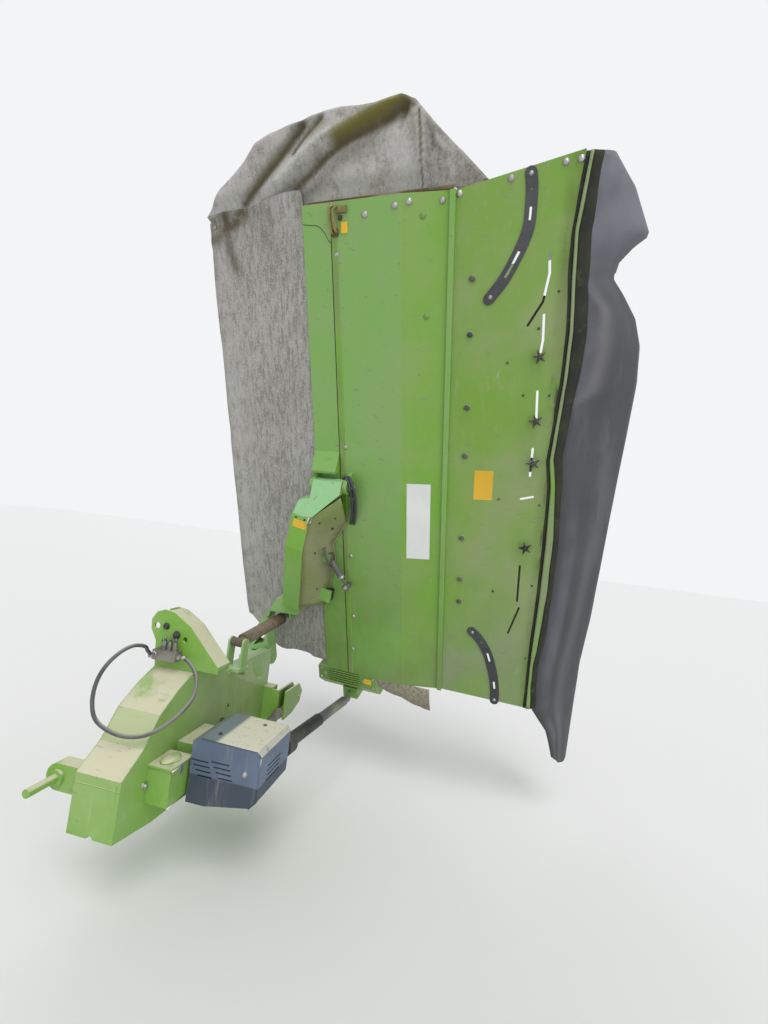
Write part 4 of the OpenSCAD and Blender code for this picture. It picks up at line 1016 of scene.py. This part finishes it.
# Gutter along the rear edge of the swath hood: a dark groove of grime and painted shade, a wavy lip and the
# band that holds the curtain, near black, which also paints the shade under the lip
GROOVE = [(-0.109, -0.537), (0.353, -0.540), (0.707, -0.554), (1.060, -0.560), (1.411, -0.557),
          (1.552, -0.539), (1.967, -0.570), (2.222, -0.575), (2.462, -0.561), (2.662, -0.555),
          (2.816, -0.571), (2.979, -0.589)]
LIP = [(-0.097, -0.575), (0.204, -0.558), (0.393, -0.581), (0.716, -0.602), (1.093, -0.609), (1.414, -0.590),
       (1.568, -0.565), (1.750, -0.570), (1.967, -0.591), (2.221, -0.595), (2.461, -0.585), (2.661, -0.574),
       (2.815, -0.585), (2.978, -0.603)]
lip_rows, groove_rows, band_rows = [], [], []
GUTTER_START, GUTTER_LEN, GUTTER_STEPS = -0.070, 3.050, 120
for i in range(GUTTER_STEPS + 1):
    u = GUTTER_START + GUTTER_LEN * i / GUTTER_STEPS
    dark = along(GROOVE, u)
    lip = min(along(LIP, u), dark - 0.026) + 0.003 * ruffle(u, 0, (7, 1), 5)
    at_edge = roof(lip)
    slip = 0.004 * ruffle(u, 0, (5, 1), 8)
    groove = ((dark + 0.004 + slip, 0.0008), (dark - 0.002, 0.0022), (dark - 0.020, 0.0022))
    groove_rows.append([(u, v, roof(v) + h) for v, h in groove])
    lip_rows.append([(u, dark - 0.016, roof(dark) + 0.003), (u, dark - 0.018, roof(dark) + 0.012),
                     (u, (dark + lip) / 2, at_edge + 0.012), (u, lip + 0.004, at_edge + 0.010),
                     (u, lip, at_edge + 0.004), (u, lip - 0.001, at_edge - 0.012),
                     (u, lip + 0.001, at_edge - 0.030)])
    wide = 0.030 + 0.030 * smoothstep(1.2, 2.2, u) - 0.020 * smoothstep(2.6, 2.95, u)
    wide += 0.006 * ruffle(u, 0, (3, 1), 4)
    band_rows.append([(u, lip + 0.002, at_edge - 0.006), (u, lip - 0.010, at_edge - 0.004),
                      (u, lip - wide * 0.6, at_edge - 0.006), (u, lip - wide, at_edge - 0.016),
                      (u, lip - wide - 0.004, at_edge - 0.028)])
gutter = sheet_mesh("rear_gutter_lip", lip_rows, 0.003, "roof_paint")
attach(gutter, "mower")
groove = sheet_mesh("rear_gutter_groove", groove_rows, 0.001, "dark_gap")
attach(groove, "mower")
band = sheet_mesh("curtain_band", band_rows, 0.004, "dark_gap")
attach(band, "mower")

# Latch at the outer end of the strip: two bent straps, a pin and the stub of a reflector
latch = Shape()
for v, low, high, lift in ((0.632, 2.712, 2.846, 0.016), (0.606, 2.716, 2.836, 0.026)):
    latch.tube([(low, v - 0.006, 0.002), (low + 0.012, v - 0.004, lift),
                (high - 0.05, v + 0.004, lift + 0.004), (high - 0.01, v + 0.008, lift - 0.002),
                (high, v - 0.012, lift - 0.004)], 0.0075, 10)
latch.block((-0.018, -0.020, 0), (0.018, 0.020, 0.010), on_hood(2722, 618), 1, 0.002)
latch.block((-0.016, -0.040, 0), (0.016, 0.016, 0.018), on_hood(2824, 584), 0, 0.003)
latch.bolt(on_hood(2788, 584), 0.013, kind=1)
latch.block((-0.026, -0.018, 0), (0.026, 0.018, 0.006), on_hood(2742, 562), 2, 0.002)
latch.make("strip_latch", ("brass", "rusty_steel", "yellow_plate"), "mower", MOWER)

# Seam beside the strip and the bead of the panel's bend
seams = Shape()
seams.tube([(2.700, 0.6405, -0.0012), (1.560, 0.6405, -0.0012), (0.004, 0.6405, -0.0012)], 0.0030, 8)
bend = spline([(2.776, 0.8045, 0), (2.770, 0.765, 0), (2.762, 0.717, 0), (2.733, 0.683, 0), (2.690, 0.656, 0),
               (2.678, 0.645, 0)], 5)
seams.tube([(p.x, p.y, -0.0004) for p in bend], 0.0020, 6)
seams.make("hood_seam", "dark_gap", "mower", MOWER)
ledge = Shape()
ledge.block((0.004, 0.604, 0.0), (2.700, 0.638, 0.0045), None, 0, 0.0035)
ledge.make("strip_ledge", "hood_paint", "mower", MOWER)


# Arm: blank plate, two plugs and the ring beside them

def on_arm(along_arm, aside):
    top = along([(0.150, 0.150), (0.330, 0.180), (0.640, 0.232), (0.850, 0.205)], along_arm)
    slope = -0.129 if along_arm > 0.64 else 0.168
    return frame_at((along_arm, aside, top), (-slope, 0, 1))


arm_bits = Shape()
arm_bits.block((-0.024, -0.044, 0), (0.024, 0.044, 0.0014), on_arm(0.800, -0.004), 0, 0.0006)
for aside in (-0.030, 0.028):
    arm_bits.lathe([(0, 0), (0.007, 0), (0.0066, 0.001), (0, 0.001)], on_arm(0.836, aside), 12, 1)
turns = [k * math.tau / 20 for k in range(18)]
ring = [(0.842 + 0.022 * math.cos(turn), -0.064, 0.212 + 0.022 * math.sin(turn)) for turn in turns]
arm_bits.tube(ring, 0.0055, 8, 2)
arm_bits.make("arm_fittings", ("yellow_plate", "dark_gap", "bolt_steel"), "arm", ARM)

# Side web of the arm and its head, sloping down to the hood; its olive-brown paint is painted shade as well
# as dust
WEB_TOP = [(531, 909, 145), (678, 875, 168), (979, 804, 220), (1060, 785, 210), (1183, 756, 200),
           (1249, 661, 172), (1310, 573, 143)]
WEB_FOOT = [(515, 788, 12), (640, 748, 12), (877, 694, 12), (962, 708, 12), (1050, 650, 12), (1085, 624, 13),
            (1120, 605, 16)]
WEB_THICK = 0.008
web_rows = []
for k in range(len(WEB_TOP) - 1):
    for step in range(5 if k == len(WEB_TOP) - 2 else 4):
        top = Vector(WEB_TOP[k]).lerp(Vector(WEB_TOP[k + 1]), step / 4) * MM
        foot = Vector(WEB_FOOT[k]).lerp(Vector(WEB_FOOT[k + 1]), step / 4) * MM
        web_rows.append([foot.lerp(top, j / 4) for j in range(5)])
arm_web = sheet_mesh("arm_web", web_rows, WEB_THICK, "web_paint")
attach(arm_web, "arm")
web = Shape()
for k, share, size in ((2, 0.35, 0.008), (2, 0.62, 0.007), (4, 0.30, 0.008), (4, 0.72, 0.010),
                       (1, 0.55, 0.007), (5, 0.50, 0.007)):
    top, foot = Vector(WEB_TOP[k]) * MM, Vector(WEB_FOOT[k]) * MM
    out = (foot - top).cross(Vector(WEB_TOP[k + 1]) - Vector(WEB_TOP[k - 1]))
    web.bolt(frame_at(top.lerp(foot, share), out), size, kind=1, washer=False)
rail = [Vector(foot) * MM for foot in WEB_FOOT]
web.tube(rail, 0.0055, 8)
web.make("arm_web_fittings", ("web_paint", "dark_bolt"), "arm", MOWER)

# Latch cylinder's pins, collar and lines, in the arm's frame
latch_end = Matrix.Translation((0.570, -0.170, 0.060)) @ Matrix.Rotation(math.radians(-134), 4, "Z")
link = Shape()
for reach, size in ((0.0, 0.026), (0.218, 0.020)):
    wide = size * 1.05
    link.lathe([(0, -0.030), (size, -0.030), (wide, -0.024), (wide, 0.024), (size, 0.030), (0, 0.030)],
               latch_end @ Matrix.Translation((reach, 0, 0)), 22, 0)
    link.bolt(latch_end @ Matrix.Translation((reach, 0, 0.030)), 0.013, kind=1)
link.tube([(0.012, 0, 0), (0.030, 0, 0), (0.034, 0, 0)], [0.021, 0.021, 0.019], 18, 0, latch_end)
link.tube([(0.140, 0, 0), (0.144, 0, 0), (0.158, 0, 0), (0.160, 0, 0)], [0.019, 0.021, 0.021, 0.018],
          18, 1, latch_end)
for side in (0.006, -0.010):
    line = spline([(0.040, side, 0.020), (0.050, side + 0.004, 0.036), (0.020, side + 0.016, 0.052),
                   (-0.030, side + 0.030, 0.060), (-0.075, 0.046 + side, 0.052)], 6)
    link.tube(line, 0.0055, 8, 0, latch_end)
link.make("latch_link", ("dark_bolt", "bolt_steel"), "arm", ARM)

# Ribs of the rubber buffer
ribs = Shape()
for k in range(6):
    ribs.block((0.250 + 0.012 * k, -0.227, 0.006), (0.256 + 0.012 * k, -0.148, 0.048), None, 0, 0.001)
ribs.make("buffer_ribs", "rubber", "arm", ARM)

# Pendulum pin's end: cap, bolt, clamps and two lines
pin_end = Shape()
cheek = frame_at((1.360, 0.548, 0.055), MINUS_Y)
pin_end.lathe([(0, -0.002), (0.036, -0.002), (0.036, 0.006), (0.028, 0.010), (0, 0.010)], cheek, 26, 0)
pin_end.bolt(frame_at((1.360, 0.538, 0.055), MINUS_Y), 0.018, kind=1)
pin_end.block((-0.030, -0.016, 0), (0.030, 0.016, 0.030), frame_at((1.330, 0.552, 0.020), PLUS_Z), 0, 0.003)
pin_end.block((-0.050, -0.012, 0), (0.020, 0.014, 0.022), frame_at((1.240, 0.556, 0.002), PLUS_Z), 0, 0.004)
for shift in (0.0, 0.022):
    pin_end.tube(spline([(1.395, 0.590 + shift, 0.030), (1.420, 0.560 + shift, 0.050),
                         (1.380, 0.528 + shift, 0.075), (1.300, 0.520 + shift, 0.060),
                         (1.220, 0.528 + shift, 0.040), (1.150, 0.545 + shift, 0.022),
                         (1.110, 0.560 + shift, 0.004)], 6), 0.0085, 10, 0)
pin_end.make("pendulum_pin_end", ("black_plastic", "bolt_steel"), "mower", MOWER)

# Inner gearbox: cooling ribs, cover bolts and the small reflector on its base
box = Shape()
for k in range(6):
    box.block((-0.104 + 0.018 * k, 0.560, -0.010), (-0.098 + 0.018 * k, 0.800, 0.004), None, 0, 0.0015)
for u, v in ((-0.090, 0.460), (-0.020, 0.460), (-0.090, 0.858), (-0.020, 0.858), (-0.055, 0.535),
              (-0.055, 0.825)):
    box.bolt(frame_at((u, v, -0.008), PLUS_Z), 0.010, kind=1)
box.block((-0.020, -0.026, 0), (0.020, 0.026, 0.004), frame_at((-0.050, 0.500, -0.008), PLUS_Z), 2, 0.0015)
box.make("gearbox_ribs", ("hood_paint", "bolt_steel", "yellow_plate"), "mower", MOWER)

# Fittings of the headstock, in its own axes
mast_bolts = Shape()
for x, out in ((-60, -1), (60, 1)):
    for y, z, size in ((-217, 579, 0.020), (-152, 614, 0.017)):
        mast_bolts.bolt(frame_at((x * MM, y * MM, z * MM), (out, 0, 0), (0, 1, 0)), size, washer=True)
mast_bolts.make("mast_bolts", "dark_bolt", "headstock", HITCH)

beam_bits = Shape()
rear_face = -0.340
for x, z, size, kind in ((-0.345, -0.020, 0.016, 0), (0.300, 0.035, 0.024, 1), (0.195, -0.120, 0.012, 0)):
    beam_bits.bolt(frame_at((x, rear_face, z), MINUS_Y), size, kind=kind)
spot = frame_at((0.36, rear_face, 0.11), MINUS_Y)
beam_bits.lathe([(0, 0), (0.010, 0), (0.0095, 0.001), (0, 0.001)], spot, 14, 2)
beam_bits.make("beam_bolts", ("bolt_steel", "dark_bolt", "dark_gap"), "headstock", HITCH)

# Weld beads round the beam's edges
CROWN = [(-500, 63), (-382, 151), (-293, 274), (-175, 354), (36, 449), (231, 359), (477, 225), (821, 99)]
welds = Shape()
for y in (-0.338, -0.117):
    line = []
    for (x0, z0), (x1, z1) in zip(CROWN, CROWN[1:]):
        steps = max(int(math.hypot(x1 - x0, z1 - z0) / 6), 2)
        line += [((x0 + (x1 - x0) * k / steps) * MM, y, (z0 + (z1 - z0) * k / steps) * MM - 0.0005)
                 for k in range(steps)]
    welds.tube(line, [0.0022 + 0.0007 * math.sin(k * 2.1) for k in range(len(line))], 6)
END_X, END_STEPS = -0.4995, 40
for (x0, y0, z0), (x1, y1, z1) in (((END_X, -0.336, 0.022), (END_X, -0.119, 0.022)),
                                   ((END_X, -0.322, 0.050), (END_X, -0.322, -0.165))):
    line = [(x0, y0 + (y1 - y0) * k / END_STEPS, z0 + (z1 - z0) * k / END_STEPS)
            for k in range(END_STEPS + 1)]
    welds.tube(line, [0.0030 + 0.0008 * math.sin(k * 2.3) for k in range(len(line))], 6)
welds.make("beam_welds", "lime_paint", "headstock", HITCH)

# Guard's screws and edge trim
guard_bits = Shape()
guard_bits.bolt(frame_at((-0.200, -0.745, 0.048), (-1, 0, 0), (0, 1, 0)), 0.014, dome=True)
guard_bits.bolt(frame_at((-0.120, -0.560, 0.1665), PLUS_Z), 0.010, kind=1)
guard_bits.bolt(frame_at((0.080, -0.700, 0.163), PLUS_Z), 0.010, kind=1)
guard_bits.tube([(-0.201, -0.512, 0.1685), (-0.201, -0.797, 0.1625), (-0.201, -0.8175, 0.138)], 0.0035, 8, 2)
guard_bits.tube([(-0.201, -0.8175, 0.138), (-0.201, -0.8175, -0.062), (-0.201, -0.785, -0.096)], 0.003, 8, 2)
guard_bits.make("guard_fittings", ("bolt_steel", "dark_bolt", "guard_plastic"), "headstock",
                HITCH)

# Tool box: lid's dome, wire hinge and clasp
box_bits = Shape()
box_bits.lathe([(0, 0.0), (0.062, 0.0), (0.058, 0.008), (0.040, 0.016), (0, 0.020)],
               Matrix.Translation((-0.255, -0.398, 0.0695)) @ Matrix.Diagonal((1, 0.62, 1, 1)), 28)
box_bits.tube([(-0.338, -0.463, 0.060), (-0.172, -0.463, 0.060)], 0.004, 8, 1)
box_bits.tube([(-0.332, -0.456, -0.108), (-0.185, -0.456, -0.108), (-0.178, -0.440, -0.108)], 0.0035, 8, 1)
clasp = frame_at((-0.255, -0.455, 0.035), MINUS_Y)
box_bits.block((-0.012, -0.018, 0), (0.012, 0.018, 0.006), clasp, 1, 0.001)
box_bits.make("tool_box_fittings", ("lime_paint", "bolt_steel"), "headstock", HITCH)

# Valve's ports, elbows, plugs and screws
valve = Shape()
for y in (-0.235, -0.205, -0.175):
    foot = Matrix.Translation((-0.090, y, 0.531))
    port = [(0, -0.004), (0.0125, -0.004), (0.0125, 0.010), (0.010, 0.012), (0.010, 0.020), (0, 0.020)]
    elbow = [(-0.090, y, 0.548), (-0.091, y, 0.556), (-0.096, y - 0.006, 0.563), (-0.106, y - 0.010, 0.566)]
    valve.lathe(port, foot, 6, 0, False)
    valve.tube(elbow, 0.0065, 10)
valve.disc(0.013, 0.022, frame_at((-0.118, -0.215, 0.478), MINUS_X), 6, 0, False)
valve.disc(0.010, 0.016, frame_at((-0.118, -0.185, 0.478), MINUS_X), 14, 1)
for x, y in ((-0.070, -0.252), (-0.070, -0.138), (-0.108, -0.252)):
    valve.bolt(Matrix.Translation((x, y, 0.505)), 0.008, kind=1, washer=False)
valve.make("valve_fittings", ("worn_steel", "brass"), "headstock", HITCH)


# Floor, light and world

FLOOR_HALF = 40
FLOOR_TONE = (0.80, 0.80, 0.79)
pale = Finish("floor")
corners = [(x * FLOOR_HALF, y * FLOOR_HALF, FLOOR_Z) for x, y in ((-1, -1), (1, -1), (1, 1), (-1, 1))]
floor_mesh = bpy.data.meshes.new("floor")
floor_mesh.from_pydata(corners, [], [(0, 1, 2, 3)])
floor_tint = pale.mix(pale.noise(3, 3), FLOOR_TONE, [c * 0.985 for c in FLOOR_TONE])
floor_mesh.materials.append(pale.finish(floor_tint, 0.85))
floor = new_object("floor", floor_mesh)

LIGHT_LEVEL, SHOWN_LEVEL = 0.62, 0.92
world = bpy.data.worlds.new("studio")
bpy.context.scene.world = world
world.use_nodes = True
tree = world.node_tree
backdrop = tree.nodes["Background"]
rays = tree.nodes.new("ShaderNodeLightPath")
shown = rays.outputs["Is Camera Ray"]
for kind in ("Is Glossy Ray", "Is Transmission Ray"):
    either = tree.nodes.new("ShaderNodeMath")
    either.operation = "MAXIMUM"
    tree.links.new(shown, either.inputs[0])
    tree.links.new(rays.outputs[kind], either.inputs[1])
    shown = either.outputs[0]
level = tree.nodes.new("ShaderNodeMapRange")
level.inputs["To Min"].default_value = LIGHT_LEVEL
level.inputs["To Max"].default_value = SHOWN_LEVEL
tree.links.new(shown, level.inputs["Value"])
tree.links.new(level.outputs["Result"], backdrop.inputs["Strength"])
backdrop.inputs["Color"].default_value = (0.97, 0.985, 1.0, 1)


def sun(name, strength, direction, spread):
    data = bpy.data.lights.new(name, "SUN")
    data.energy = strength
    data.angle = math.radians(spread)
    new_object(name, data).rotation_euler = Vector(direction).to_track_quat("-Z", "Y").to_euler()


sun("key", 1.15, (0.62, 0.20, -0.95), 35)
sun("side", 0.55, (0.75, 0.90, -0.35), 50)
sun("back", 0.45, (-0.80, -0.35, -0.55), 50)

bpy.context.scene.view_settings.view_transform = "Standard"
